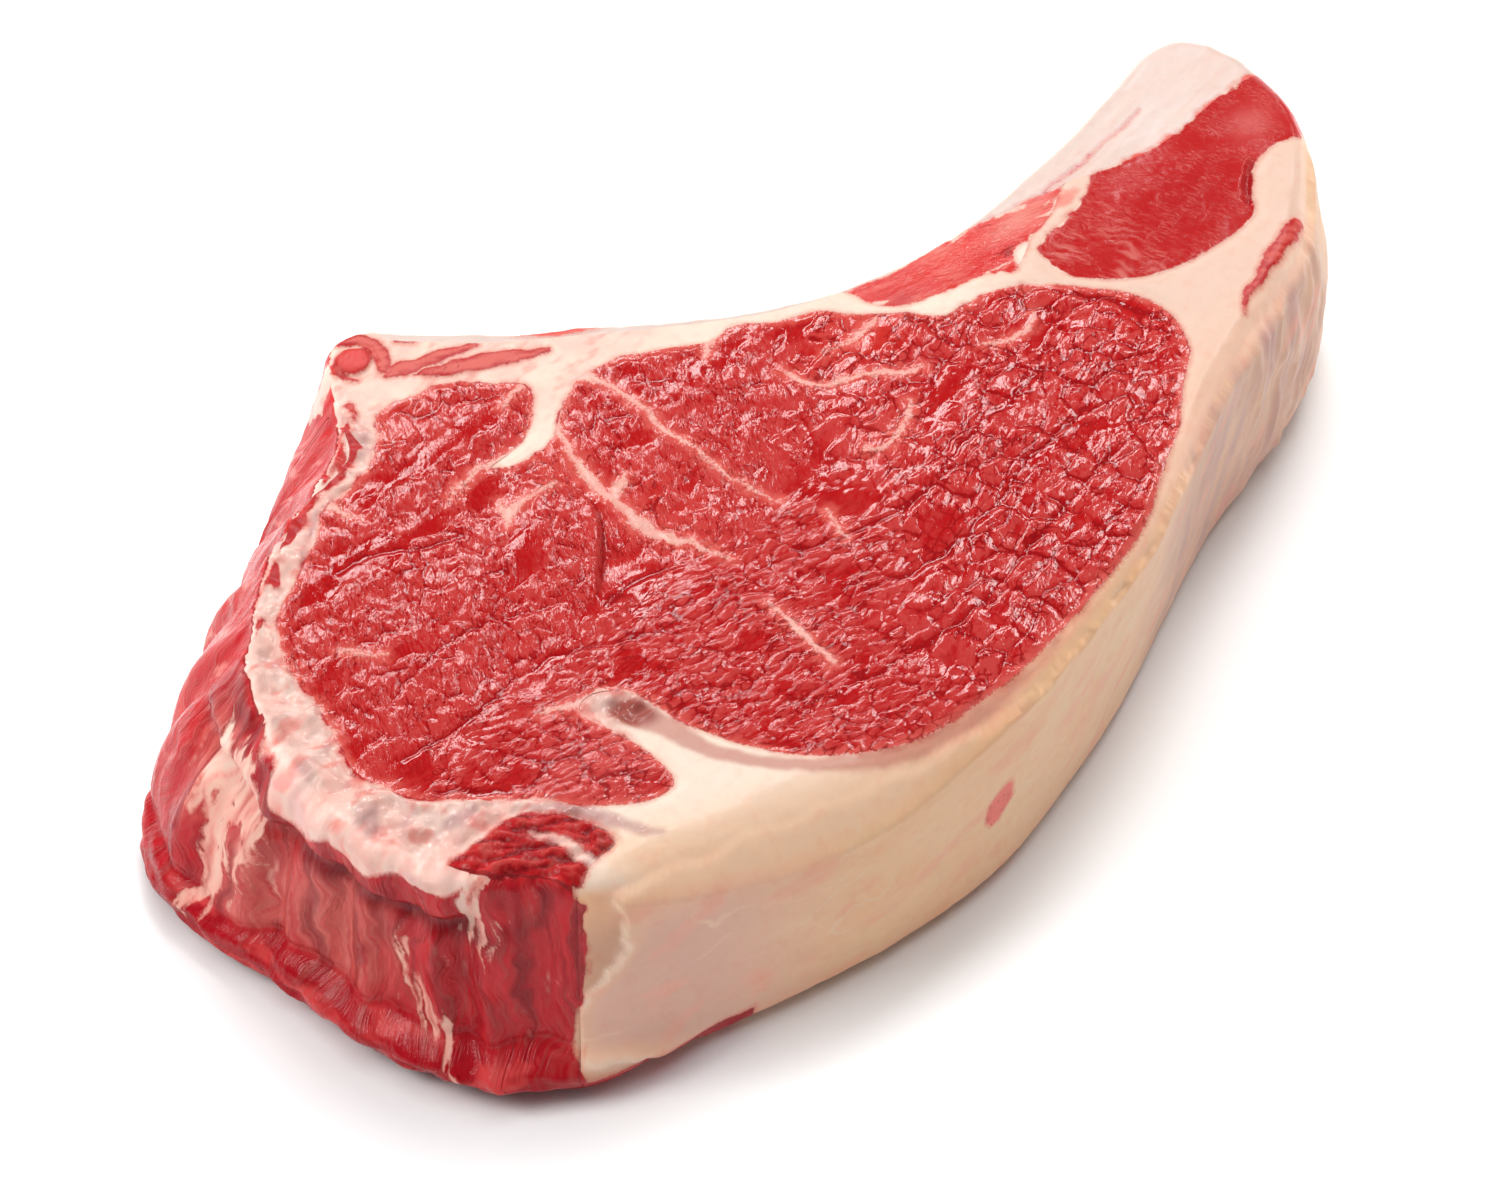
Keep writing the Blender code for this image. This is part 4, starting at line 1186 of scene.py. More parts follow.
def paint_tail(points, seam_distance):
    fields = common_fields(points, -seam_distance)
    plan, spot, wall = points.plan, fields["spot"], fields["wall"]
    along = turned(warped(plan, 9, 1.8, 191), -74)
    fibre = noise(along, (6, 0.9), 192)
    left = smooth(116, 98, plan[:, 0])
    hang = layered(warped(spot, 8, 1.5, 217), (3.0, 26), 218)
    wall_tone = coated(plain(TAIL_WALL, plan), (TAIL_HANG, np.clip(0.5 + hang, 0, 1)))
    fields["tone"] = coated(
        tinted(TAIL_RED, plan, TAIL_TINTS),
        (TAIL_PALE, np.clip(left * 0.7 * smooth(0.0, 0.7, fibre), 0, 1)),
        (wall_tone, 0.8 * wall),
    )
    fields["cream"] = coated(fields["cream"], (TAIL_FAT, wall))

    white = 1.3 * smooth(0.45, 0.95, noise(along, (8, 1.0), 193)) - 1.0
    first, last = points.outline.tail_run
    inward = np.minimum(points.run - first, last - points.run)
    ragged = 1.6 - inward + 1.8 * layered(warped(spot, 6, 1.5, 223), (3.0, 11), 224)
    fat = np.where(wall > 0.5, ragged, fields["fat"])
    fields["fat"] = np.maximum(fat, white * left - 3 * (1 - left))

    dent = veins(warped(plan, 5, 0.5, 194), (TAIL_DENT,))
    relief = 0.08 * noise(plan, 9, 195) + 0.05 * fibre + 0.05 * noise(along, (5, 1.6), 196)
    relief -= 0.9 * smooth(-1.0, 0.5, dent)
    fields["relief"] = relief * smooth(0.1, 1.2, seam_distance)
    dip = np.clip(smooth(-0.1, -0.7, fibre) * 0.7 + smooth(-0.8, 0.3, dent), 0, 1)
    fields["crack"] = 1.2 - 1.2 * dip
    fields["film"] = smooth(0.0, 0.5, noise(plan, 12, 197))
    fields["grain"] = grain_along(plan, -74, 3.0)
    return fields


def paint_bone(points, seam_distance):
    fields = common_fields(points, seam_distance)
    plan, spot, wall = points.plan, fields["spot"], fields["wall"]
    along = turned(warped(plan, 9, 0.8, 201), 8)
    vein_line = veins(warped(plan, 3, 0.25, 207), (BONE_VEIN,))
    wall_streak = patchy(warped(spot, 9, 1.2, 203), (26, 3.2), 204)
    blood = smooth(0.25, 0.8, layered(spot, (16, 9), 205))
    wall_skin = coated(
        plain(PINK_FAT, plan), (BONE_SKIN, wall_streak), (BONE_BLOOD, 0.55 * blood * (1 - wall_streak))
    )
    fields["cream"] = coated(
        plain(BONE_SKIN, plan),
        (BONE_STREAK, np.clip(0.6 * patchy(along, (24, 2.6), 202), 0, 1)),
        (BONE_RIM, 0.5 * smooth(5, 1.5, points.depth) * (1 - wall)),
        (wall_skin, wall),
    )
    fields["tone"] = coated(
        plain(BONE_RED, plan), (VEIN, smooth(-0.4, 0.0, vein_line)), (BONE_WALL_RED, wall)
    )

    meat = np.maximum(veins(warped(plan, 5, 0.5, 206), BONE_MEAT), blob(plan, (6.5, 59.5), (8.0, 1.6), -38))
    top_fat = np.minimum(fields["fat"], 0.2 - np.maximum(meat, vein_line))
    threads = 1.2 * smooth(0.5, 0.9, layered(warped(spot, 8, 1.0, 208), (18, 2.6), 209)) - 0.75
    lower = smooth(20, 8, spot[:, 1]) * 1.2 - 0.9 + 0.8 * layered(spot, (14, 6), 210)
    wall_fat = -np.maximum(threads, np.where(points.run > 440, lower, -9))
    fields["fat"] = np.where(wall > 0.5, wall_fat, top_fat)

    relief = 0.2 * layered(along, (22, 3.4), 211) + 0.25 * noise(plan, 9, 212)
    fields["relief"] = (relief - 0.2 * smooth(-0.5, 0.3, vein_line)) * smooth(0.1, 1.4, seam_distance)
    grain = np.column_stack([spot[:, 0] / 5, spot[:, 1], 0 * spot[:, 1]])
    fields["grain"] = np.where(wall[:, None] > 0.5, grain, grain_along(plan, 8, 5.0))
    fields["film"] = np.full(len(plan), 0.5)
    return fields


# Meshes


def grid_inside(loops, step, clearance):
    """Points of a triangular grid inside the first loop, outside the others, clear of them all."""
    low, high = loops[0].min(axis=0), loops[0].max(axis=0)
    x, y = np.meshgrid(
        np.arange(low[0], high[0], step), np.arange(low[1], high[1], step * np.sqrt(3) / 2)
    )
    x[1::2] += step / 2
    grid = np.column_stack([x.ravel(), y.ravel()])
    keep = inside(grid, loops[0])
    for loop in loops[1:]:
        keep &= ~inside(grid, loop)
    grid = grid[keep]
    away, _ = nearest(grid, np.concatenate(loops))
    return grid[away > clearance]


def face_triangles(loops, grid):
    """Triangles of a face, over the loops' points, in order, and then the grid's."""
    points = np.concatenate([*loops, grid])
    edges = []
    start = 0
    for loop in loops:
        count = len(loop)
        edges += [(start + i, start + (i + 1) % count) for i in range(count)]
        start += count
    vectors = [Vector(point) for point in points]
    triangles = np.array(delaunay_2d_cdt(vectors, edges, [], 1, 1e-6)[2])
    middles = points[triangles].mean(axis=1)
    keep = inside(middles, loops[0])
    for loop in loops[1:]:
        keep &= ~inside(middles, loop)
    return triangles[keep]


def stitch(left, right):
    """Triangles between two columns of points, each a list of (share, index) going up."""
    faces = []
    i = j = 0
    while i < len(left) - 1 or j < len(right) - 1:
        climb_left = j == len(right) - 1
        if i < len(left) - 1 and j < len(right) - 1:
            climb_left = left[i + 1][0] <= right[j + 1][0]
        if climb_left:
            faces.append((left[i][1], right[j][1], left[i + 1][1]))
            i += 1
        else:
            faces.append((left[i][1], right[j][1], right[j + 1][1]))
            j += 1
    return faces


def wall_triangles(loops, outer, shares, under_start, wall_start):
    """Triangles of the outer wall and of the seams, and the edges that stay sharp."""
    row_of = {index: k for k, index in enumerate(outer)}
    walls, seams, rims = [], [], []
    start = 0
    for loop in loops:
        count = len(loop)
        for i in range(count):
            ends = start + i, start + (i + 1) % count
            columns = []
            for index in ends:
                starts = ()
                if index in row_of:
                    starts = (wall_start + k * len(outer) + row_of[index] for k in range(len(shares)))
                columns.append([(0.0, under_start + index), *zip(shares, starts), (1.0, index)])
            if all(index in row_of for index in ends):
                walls += stitch(*columns)
            else:
                seams += stitch(*columns)
                rims += [ends, (under_start + ends[0], under_start + ends[1])]
        start += count
    return [np.array(group) for group in (walls, seams) if group], rims


def even_light(fields, points):
    """Brightens the colours on the walls, which the light reaches less than the cut face."""
    steepness = ROUNDING_CURVE * np.clip(1 - points.depth / points.sizes[:, 3], 0, 1) ** 1.4
    flatness = ((1 - fields["wall"]) / np.sqrt(1 + steepness**2)) ** 2.5
    brighter = (TOP_LIGHT / (WALL_LIGHT + (TOP_LIGHT - WALL_LIGHT) * flatness))[:, None]
    for key in ("tone", "cream"):
        most = BRIGHTEST / fields[key].max(axis=1)[:, None]
        fields[key] = fields[key] * np.minimum(brighter, np.maximum(most, 1.0))


def relieved(fields, points, outline):
    """Where the points are with their relief, in millimetres of the part's frame."""
    place, relief, run = fields["place"], fields["relief"], points.run
    stand = wall_relief(run, fields["height"], outline)
    stand = FOLD_SOFTNESS * np.logaddexp(0, (stand + DEEPEST_FOLD) / FOLD_SOFTNESS) - DEEPEST_FOLD
    stand += THIN_SIDE * smooth(104, 114, run) * smooth(176, 168, run)
    place[:, :2] += points.normal * (stand * np.exp(-points.depth / WALL_RELIEF_REACH))[:, None]
    place[:, 2] += relief * np.exp(-(1 - points.share) * THICKNESS / FACE_RELIEF_REACH)
    near_floor = np.exp(-points.share * THICKNESS / FACE_RELIEF_REACH)
    place[:, 2] += np.abs(relief) * near_floor * 0.25
    place[:, 2] = np.maximum(place[:, 2], 0.0)
    place[:, :2] -= ORIGIN
    return place


def make_mesh(name, place, faces, rims, fields):
    mesh = bpy.data.meshes.new(name)
    mesh.vertices.add(len(place))
    mesh.vertices.foreach_set("co", (place * METRES).astype(np.float32).ravel())
    mesh.loops.add(3 * len(faces))
    mesh.loops.foreach_set("vertex_index", faces.astype(np.int32).ravel())
    mesh.polygons.add(len(faces))
    mesh.polygons.foreach_set("loop_start", np.arange(0, 3 * len(faces), 3, dtype=np.int32))
    mesh.update(calc_edges=True)
    mesh.shade_smooth()
    ends = np.zeros(2 * len(mesh.edges), np.int64)
    mesh.edges.foreach_get("vertices", ends)
    ends = np.sort(ends.reshape(-1, 2), axis=1)
    rims = np.sort(np.array(rims), axis=1)
    sharp = np.isin(ends @ (1, len(place)), rims @ (1, len(place)))
    mesh.attributes.new("sharp_edge", "BOOLEAN", "EDGE").data.foreach_set("value", sharp)

    def keep(key, kind, field, values):
        data = mesh.attributes.new(key, kind, "POINT").data
        data.foreach_set(field, values.astype(np.float32).ravel())

    for key in ("fat", "crack", "film", "blotch", "right", "low"):
        if key in fields:
            keep(key, "FLOAT", "value", np.clip(fields[key], -6, 6))
    for key in ("tone", "cream"):
        keep(key, "FLOAT_COLOR", "color", np.column_stack([fields[key], np.ones(len(place))]))
    keep("grain", "FLOAT_VECTOR", "vector", fields["grain"])
    return mesh


def build(name, node, loops, outline, paint_points, material):
    """A closed piece with fine cut face and outer wall, and a coarser lower face."""
    edge = np.concatenate(loops)
    top_grid = grid_inside(loops, FINE_STEP, 0.62 * FINE_STEP)
    under_grid = grid_inside(loops, UNDER_STEP, 0.6 * UNDER_STEP)
    edge_points = Points(outline, edge, 1.0)
    outer = np.where(edge_points.depth < 0.05)[0]
    shares = np.linspace(0, 1, WALL_ROWS + 1)[1:-1] if len(outer) else []
    top = join_points([edge_points, Points(outline, top_grid, 1.0)])
    under = join_points([edge_points.at_share(0.0), Points(outline, under_grid, 0.0)])
    wall = Points(outline, edge[outer], 0.5) if len(outer) else None
    points = join_points([top, under, *(wall.at_share(share) for share in shares)])

    under_start = len(top.plan)
    wall_start = under_start + len(under.plan)
    walls, rims = wall_triangles(loops, outer, shares, under_start, wall_start)
    under_faces = face_triangles(loops, under_grid)[:, ::-1] + under_start
    faces = np.concatenate([face_triangles(loops, top_grid), under_faces, *walls])

    fields = paint_points(points)
    even_light(fields, points)
    mesh = make_mesh(name, relieved(fields, points, outline), faces, rims, fields)
    mesh.materials.append(material)
    piece = bpy.data.objects.new(name, mesh)
    bpy.context.scene.collection.objects.link(piece)
    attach(piece, "root")
    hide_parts(node)
    print(name, len(faces), "triangles")


# Materials


class Nodes:
    """Short names for the shader nodes that the materials use."""

    def __init__(self, name):
        self.material = bpy.data.materials.new(name)
        self.material.use_nodes = True
        self.tree = self.material.node_tree
        self.shader = self.tree.nodes["Principled BSDF"]

    def set(self, socket, value):
        if isinstance(value, bpy.types.NodeSocket):
            self.tree.links.new(value, socket)
        else:
            socket.default_value = value

    def add(self, kind, output, inputs, **settings):
        """An output of a new node, given its inputs, by name or number, and its settings."""
        node = self.tree.nodes.new("ShaderNode" + kind)
        for name, value in settings.items():
            setattr(node, name, value)
        for name, value in inputs.items():
            self.set(node.inputs[name], value)
        return node.outputs[output]

    def attribute(self, name, output="Fac"):
        return self.add("Attribute", output, {}, attribute_name=name)

    def vector(self, operation, first, second):
        return self.add("VectorMath", "Vector", {0: first, 1: second}, operation=operation)

    def scaled(self, vector, scale):
        return self.add("VectorMath", "Vector", {0: vector, "Scale": scale}, operation="SCALE")

    def millimetres(self):
        return self.scaled(self.add("TexCoord", "Object", {}), 1 / METRES)

    def noise(self, vector, detail=2.0, rough=0.5, distortion=0.0, scale=1.0, output="Fac"):
        return self.add("TexNoise", output, {
            "Vector": vector, "Scale": scale, "Detail": detail, "Roughness": rough,
            "Distortion": distortion,
        })

    def pushed(self, vector, size, reach):
        """The vector, pushed about so that what is drawn with it looks grown."""
        push = self.noise(vector, scale=1 / size, output="Color")
        centred = self.vector("SUBTRACT", push, (0.5, 0.5, 0.5))
        return self.vector("ADD", vector, self.scaled(centred, 2 * reach))

    def laid(self, vector, sizes, degrees=0.0):
        """The vector in units of a feature's sizes, turned to lie along a direction."""
        turn = (0.0, 0.0, np.radians(degrees))
        inputs = {"Vector": vector, "Rotation": turn, "Scale": sizes}
        return self.add("Mapping", "Vector", inputs, vector_type="TEXTURE")

    def cells(self, vector):
        inputs = {"Vector": vector, "Scale": 1.0}
        return self.add("TexVoronoi", "Distance", inputs, feature="DISTANCE_TO_EDGE")

    def math(self, operation, first, second=0.0, third=0.0):
        inputs = {0: first, 1: second, 2: third}
        return self.add("Math", "Value", inputs, operation=operation)

    def times(self, *values):
        product = values[0]
        for value in values[1:]:
            product = self.math("MULTIPLY", product, value)
        return product

    def plus(self, value, other, share):
        """value + share * (other - 0.5)."""
        return self.math("ADD", value, self.math("MULTIPLY_ADD", other, share, -0.5 * share))

    def ramp(self, value, low, high, start=0.0, end=1.0):
        inputs = {"Value": value, "From Min": low, "From Max": high, "To Min": start, "To Max": end}
        return self.add("MapRange", "Result", inputs, interpolation_type="SMOOTHSTEP")

    def mix(self, share, first, second, **settings):
        """A colour between two others."""
        return self.add("Mix", 2, {0: share, 6: first, 7: second}, data_type="RGBA", **settings)

    def multiplied(self, share, colour, tint):
        """The colour, multiplied by the tint for this share of it."""
        return self.mix(share, colour, (*tint, 1.0), blend_type="MULTIPLY")

    def blend(self, share, first, second):
        """A number between two others."""
        return self.add("Mix", 0, {0: share, 2: first, 3: second})

    def bump(self, height, distance):
        return self.add("Bump", "Normal", {"Height": height, "Distance": distance})


def paint(colour):
    return (*linear(colour), 1.0)


def eye_tops(nodes, mm):
    """The eye's cut face: tops for a painted sheen, fine cracks for painted shade, and their height."""
    loose = nodes.pushed(mm, 3.5, 1.0)
    fine = nodes.pushed(mm, 1.6, 0.5)
    some = nodes.noise(nodes.laid(mm, (6.0, 4.0, 5.0)), 1.0)
    broad = nodes.noise(nodes.laid(mm, (17.0, 11.0, 14.0), 20), 1.0)
    film = nodes.attribute("film")
    middle = nodes.ramp(nodes.attribute("crack"), 0.1, 1.3)

    def zoned(steep, flow, right):
        left = nodes.blend(nodes.attribute("low"), steep, flow)
        return nodes.blend(nodes.attribute("right"), left, right)

    def swirl(sizes, degrees):
        return nodes.noise(nodes.laid(loose, sizes, degrees), 3.0, 0.52, 0.4)

    def network(sizes, degrees, width):
        away = nodes.cells(nodes.laid(fine, sizes, degrees))
        broken = nodes.math("ADD", away, nodes.ramp(some, 0.4, 0.6, 0.0, 0.1))
        return nodes.ramp(broken, 0.0, width)

    def wrinkle(sizes, degrees):
        ridge = nodes.noise(nodes.laid(fine, sizes, degrees), 1.0, 0.5)
        ridge = nodes.math("ABSOLUTE", nodes.math("SUBTRACT", ridge, 0.5))
        return nodes.ramp(nodes.math("ADD", ridge, nodes.ramp(some, 0.45, 0.6, 0.0, 0.04)), 0.005, 0.05)

    forms = zoned(swirl((2.2, 0.55, 1.1), 62), swirl((2.4, 0.9, 1.4), -8), swirl((2.1, 1.1, 1.5), 40))
    lines = zoned(
        wrinkle((2.4, 0.8, 1.2), 62),
        network((3.6, 1.6, 2.0), -10, 0.13),
        network((3.4, 2.1, 2.0), 24, 0.12),
    )
    busy = nodes.plus(nodes.plus(broad, some, 0.7), film, -0.5)
    busy = nodes.ramp(busy, 0.15, 0.55, 0.34, 1.0)
    lines = nodes.math("MAXIMUM", lines, nodes.ramp(busy, 0.6, 0.1))
    tops = nodes.plus(nodes.plus(forms, middle, 0.1), busy, 0.2)
    tops = nodes.times(nodes.ramp(tops, 0.42, 0.7), lines, busy)
    height = nodes.times(forms, nodes.ramp(busy, 0.0, 1.0, 0.3, 1.0))
    height = nodes.math("MULTIPLY_ADD", middle, 0.25, height)
    return tops, height, lines


def fibre_tops(sizes, degrees, calm=1.0):
    """Another muscle's tops for a painted sheen: fine fibres drawn out along its grain, down to calm in
    places.
    """
    def pattern(nodes, mm):
        vector = nodes.attribute("grain", "Vector") if degrees is None else mm
        loose = nodes.pushed(vector, 2.5, 0.5)
        fibres = nodes.noise(nodes.laid(loose, sizes, degrees or 0.0), 3.0, 0.62)
        some = nodes.noise(nodes.laid(mm, (7.0, 6.0, 7.0)), 1.0)
        tops = nodes.ramp(nodes.plus(fibres, some, 0.22), 0.5, 0.66)
        busy = nodes.ramp(some, 0.42, 0.58, calm, 1.0)
        return nodes.times(tops, busy), nodes.times(fibres, busy), nodes.ramp(fibres, 0.28, 0.36)
    return pattern


# Depth of the fat's fine bump, in millimetres
FAT_DEPTH = 0.12


def meat_material(name, pattern, pale, painted_sheen, depth, gloss, shine, grit=0.12, frays=0.8, fade=1.0):
    """Lean and fat, told apart by the piece's own fields.

    pattern gives the lean's small tops, on which its pale colour is painted as a sheen in the
    share given after that colour, and its height in units of depth, which is in millimetres.
    Deeper red is painted as shade along its lines and in its cracks. The edge between lean and fat
    wanders by frays millimetres, and fade is how soft it is.
    """
    nodes = Nodes(name)
    mm = nodes.millimetres()
    tops, lean_height, lines = pattern(nodes, mm)
    fine, medium, broad = (nodes.noise(nodes.laid(mm, (size,) * 3)) for size in (0.55, 2.4, 8.0))

    edge = nodes.plus(nodes.plus(nodes.attribute("fat"), fine, frays), medium, 0.6)
    is_fat = nodes.ramp(edge, -0.35 * fade, 0.3 * fade)
    crack = nodes.plus(nodes.attribute("crack"), medium, 0.5)
    gap = nodes.ramp(crack, 0.42, 0.15)
    tops = nodes.times(tops, nodes.ramp(gap, 1.0, 0.0))
    # Painted sheen: the pale colour on the lean's tops. Painted shade: deeper red along its lines and in its
    # cracks.
    lean = nodes.mix(nodes.times(tops, painted_sheen), nodes.attribute("tone", "Color"), paint(pale))
    lean = nodes.mix(nodes.ramp(lines, 1.0, 0.0, 0.0, 0.7), lean, paint(CRACK_PAINTED_SHADE))
    lean = nodes.mix(nodes.times(gap, 0.6), lean, paint(CRACK_PAINTED_SHADE))

    wet = nodes.attribute("blotch")
    clear = nodes.ramp(nodes.plus(broad, medium, 0.4), 0.5, 0.75, 0.0, 0.3)
    soft = nodes.attribute("cream", "Color")
    for share, tint in (
        (nodes.ramp(medium, 0.45, 0.8, 0.0, 0.35), (0.97, 0.74, 0.7)),
        (nodes.times(wet, clear), (0.72, 0.56, 0.6)),
        (nodes.times(is_fat, nodes.ramp(edge, 1.1, 0.1, 0.0, 0.5)), (0.9, 0.4, 0.36)),
    ):
        soft = nodes.multiplied(share, soft, tint)

    lean_rough = nodes.math("MULTIPLY_ADD", nodes.ramp(medium, 0.3, 0.7), 0.03, gloss)
    fat_rough = nodes.math("MULTIPLY_ADD", wet, -0.28, 0.36)
    lean_height = nodes.math("MULTIPLY_ADD", fine, grit, lean_height)
    fat_height = nodes.math("MULTIPLY_ADD", medium, 0.5, nodes.times(fine, 0.16))
    wetter = nodes.math("MULTIPLY_ADD", wet, 2.0, 1.0)
    fat_height = nodes.times(fat_height, wetter, FAT_DEPTH / depth)
    for socket, value in (
        ("Base Color", nodes.mix(is_fat, lean, soft)),
        ("Roughness", nodes.blend(is_fat, lean_rough, fat_rough)),
        ("Normal", nodes.bump(nodes.blend(is_fat, lean_height, fat_height), depth * METRES)),
        ("Specular IOR Level", shine),
        ("Subsurface Weight", 0.1),
        ("Subsurface Radius", (1.0, 0.35, 0.25)),
        ("Subsurface Scale", 0.0015),
    ):
        nodes.set(nodes.shader.inputs[socket], value)
    return nodes.material


# The steak


def make_steak():
    outline = Outline()
    chine, side, cap, tail, bone = outline_stretches(FINE_STEP)
    tail_start, bone_start = tail[0], bone[0]
    intercostal_start, gap_start = RIB_SEAM_AT_INTERCOSTAL[0], RIB_SEAM_AT_GAP[0]
    rib_tail_start = RIB_SEAM_AT_TAIL[0]

    side_seam = open_curve([side[0], *SIDE_SEAM, cap[0]], FINE_STEP)
    rib_rows = [chine[0], *RIB_SEAM_AT_FAT, *RIB_SEAM_AT_INTERCOSTAL, *RIB_SEAM_AT_GAP]
    rib_seam = open_curve([*rib_rows, *RIB_SEAM_AT_TAIL, bone_start], FINE_STEP)
    starts = (intercostal_start, gap_start, rib_tail_start)
    cuts = [int(np.linalg.norm(rib_seam - np.array(start), axis=1).argmin()) for start in starts]
    rib_by_fat, rib_by_intercostal, rib_by_gap, rib_by_tail = np.split(rib_seam, cuts)
    under_intercostal = open_curve([intercostal_start, *INTERCOSTAL_SEAM, gap_start], FINE_STEP)
    under_tail = open_curve([rib_tail_start, *TAIL_SEAM, tail_start], FINE_STEP)
    eye = closed_curve(EYE_SEAM, FINE_STEP)

    side_loop = np.concatenate([side, side_seam[:0:-1]])
    bone_loop = np.concatenate([bone, rib_seam[:-1]])
    intercostal_loop = np.concatenate([under_intercostal, rib_by_intercostal[:0:-1]])
    tail_loop = np.concatenate([tail, bone_start[None], rib_by_tail[-2::-1], under_tail[1:-1]])
    fat_loop = np.concatenate([
        cap, under_tail[::-1], rib_by_gap[::-1], under_intercostal[-2::-1],
        rib_by_fat[:0:-1], chine, side_seam[:-1],
    ])
    lean_seams = (
        (eye, RED), (side_seam, SIDE_SEAM_RED), (under_intercostal, ORANGE_RED), (under_tail, TAIL_RED),
    )
    seams = {
        "lean_points": np.concatenate([seam for seam, _ in lean_seams]),
        "lean_tones": np.concatenate([plain(tone, seam) for seam, tone in lean_seams]),
    }

    def away(points, *lines):
        return nearest(points.plan, np.concatenate(lines))[0]

    def fat_paint(p):
        return paint_fat(
            p, seams, away(p, eye), away(p, side_seam), away(p, under_intercostal, under_tail)
        )

    def rib_paint(p):
        return paint_bone(p, away(p, rib_by_intercostal, rib_by_tail))

    pieces = (
        ("eye_muscle", "rib_eye", [eye], lambda p: paint_eye(p, away(p, eye)),
         "lean", eye_tops, EYE_PAINTED_SHEEN, 0.4, 0.15, 0.03, 0.5, 0.02, 1.6),
        ("fat_and_cap", "fat_cover", [fat_loop, eye[::-1]], fat_paint,
         "fat", fibre_tops((2.5, 0.8, 1.5), 20), PAINTED_SHEEN_RED, 0.4, 0.12, 0.35, 0.3),
        ("side_meat", "side_muscle", [side_loop], lambda p: paint_side(p, away(p, side_seam)),
         "side_lean", fibre_tops((0.8, 2.0, 1.0), None), SIDE_FILM_AND_PAINTED_SHEEN, 0.28, 0.36, 0.16, 0.2, 0.2, 1.2, 2.4),
        ("rib", "rib_bone", [bone_loop], rib_paint,
         "bone", fibre_tops((3.5, 0.9, 2.0), 8), PAINTED_SHEEN_RED, 0.4, 0.12, 0.32, 0.4),
        ("rib_meat", "intercostal_muscle", [intercostal_loop],
         lambda p: paint_intercostal(p, away(p, intercostal_loop)),
         "pale_lean", fibre_tops((1.6, 0.42, 1.2), -14, 0.7), INTERCOSTAL_PAINTED_SHEEN, 0.4, 0.13, 0.04, 0.45, 0.03),
        ("tail_meat", "tail_muscle", [tail_loop], lambda p: paint_tail(p, away(p, rib_by_tail, under_tail)),
         "tail_lean", fibre_tops((1.5, 0.36, 1.2), -74, 0.4), TAIL_PAINTED_SHEEN, 0.45, 0.18, 0.05, 0.4, 0.03),
    )
    for name, node, loops, paint_points, slot, *looks in pieces:
        build(name, node, loops, outline, paint_points, meat_material(slot, *looks))


# Stage, light and camera


CAMERA_TARGET = np.array([-22.0, -11.5, 24.0]) * METRES
CAMERA_DISTANCE = 1.0
CAMERA_ELEVATION = 48.0
CAMERA_AZIMUTH = -45.0
CAMERA_LENS = 126.0
SENSOR_WIDTH = 36.0
CLIP_START = 0.05

# The stage, in metres, and its lights, in metres and watts
FLOOR_REACH = 4.0
FLOOR_GAP = 0.0003
FLOOR_COLOUR = (0.93, 0.93, 0.93, 1.0)
WORLD_STRENGTH = 0.15
LIGHT_TARGET = (0.0, 0.0, 0.02)
LIGHT_HEIGHT = 1.1
GLINTS_WIDTH = 1.1
GLINTS_POWER = 33.0


def look_at(thing, target):
    ahead = Vector(target) - thing.location
    thing.rotation_euler = ahead.to_track_quat("-Z", "Y").to_euler()


def softbox(name, place, size, power):
    """A rectangular light that faces the steak's middle."""
    light = bpy.data.lights.new(name, "AREA")
    light.shape = "RECTANGLE"
    light.size, light.size_y = size
    light.energy = power
    lamp = bpy.data.objects.new(name, light)
    bpy.context.scene.collection.objects.link(lamp)
    lamp.location = place
    look_at(lamp, LIGHT_TARGET)
    return lamp


def flat_light(*softbox_values):
    """A rectangular light that faces straight down."""
    lamp = softbox(*softbox_values)
    lamp.rotation_euler = (0.0, 0.0, 0.0)
    return lamp


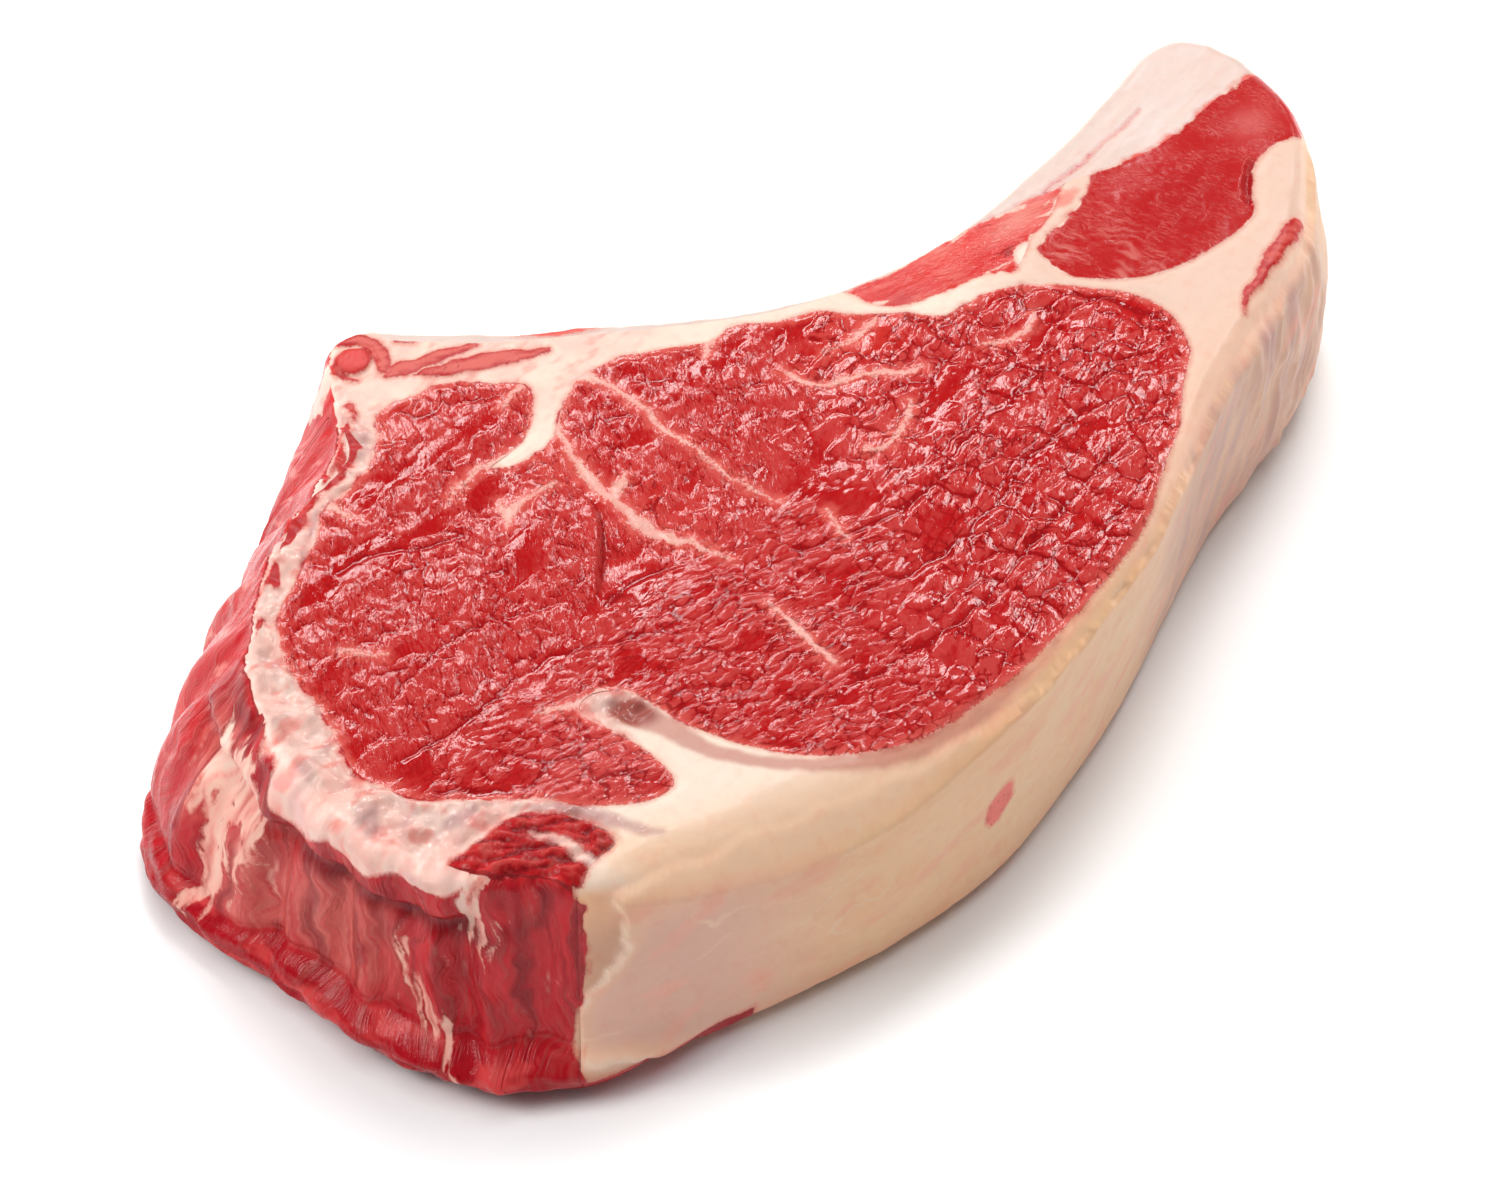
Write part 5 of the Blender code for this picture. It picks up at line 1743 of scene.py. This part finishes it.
def make_camera():
    data = bpy.data.cameras.new("camera")
    data.lens = CAMERA_LENS
    data.sensor_width = SENSOR_WIDTH
    data.clip_start = CLIP_START
    camera = bpy.data.objects.new("camera", data)
    bpy.context.scene.collection.objects.link(camera)
    elevation, azimuth = np.radians(CAMERA_ELEVATION), np.radians(CAMERA_AZIMUTH)
    away = Vector((
        np.sin(azimuth) * np.cos(elevation),
        -np.cos(azimuth) * np.cos(elevation),
        np.sin(elevation),
    ))
    camera.location = Vector(CAMERA_TARGET) + away * CAMERA_DISTANCE
    look_at(camera, CAMERA_TARGET)
    bpy.context.scene.camera = camera


def make_stage():
    mesh = bpy.data.meshes.new("floor")
    corners = [(x * FLOOR_REACH, y * FLOOR_REACH, 0) for x, y in ((-1, -1), (1, -1), (1, 1), (-1, 1))]
    mesh.from_pydata(corners, [], [(0, 1, 2, 3)])
    material = bpy.data.materials.new("floor")
    material.use_nodes = True
    shader = material.node_tree.nodes["Principled BSDF"]
    shader.inputs["Base Color"].default_value = FLOOR_COLOUR
    shader.inputs["Roughness"].default_value = 0.7
    shader.inputs["Specular IOR Level"].default_value = 0.2
    mesh.materials.append(material)
    floor = bpy.data.objects.new("floor", mesh)
    bpy.context.scene.collection.objects.link(floor)
    floor.location.z = -FLOOR_GAP

    world = bpy.data.worlds.new("world")
    bpy.context.scene.world = world
    world.use_nodes = True
    background = world.node_tree.nodes["Background"]
    background.inputs["Color"].default_value = (1.0, 1.0, 1.0, 1.0)
    background.inputs["Strength"].default_value = WORLD_STRENGTH
    overhead = flat_light("overhead", (0.1, -0.03, LIGHT_HEIGHT), (1.5, 1.0), 8.9)
    overhead.visible_glossy = False
    for name, y, depth in (("front_glints", 0.27, 0.36), ("back_glints", 1.14, 0.3)):
        size = (GLINTS_WIDTH, depth)
        flat_light(name, (0.72, y, LIGHT_HEIGHT), size, GLINTS_POWER * GLINTS_WIDTH * depth)
    softbox("left", (-0.75, 0.45, 0.85), (0.5, 0.5), 6.5)
    bpy.context.scene.view_settings.view_transform = "Standard"


make_stage()
make_camera()
make_steak()
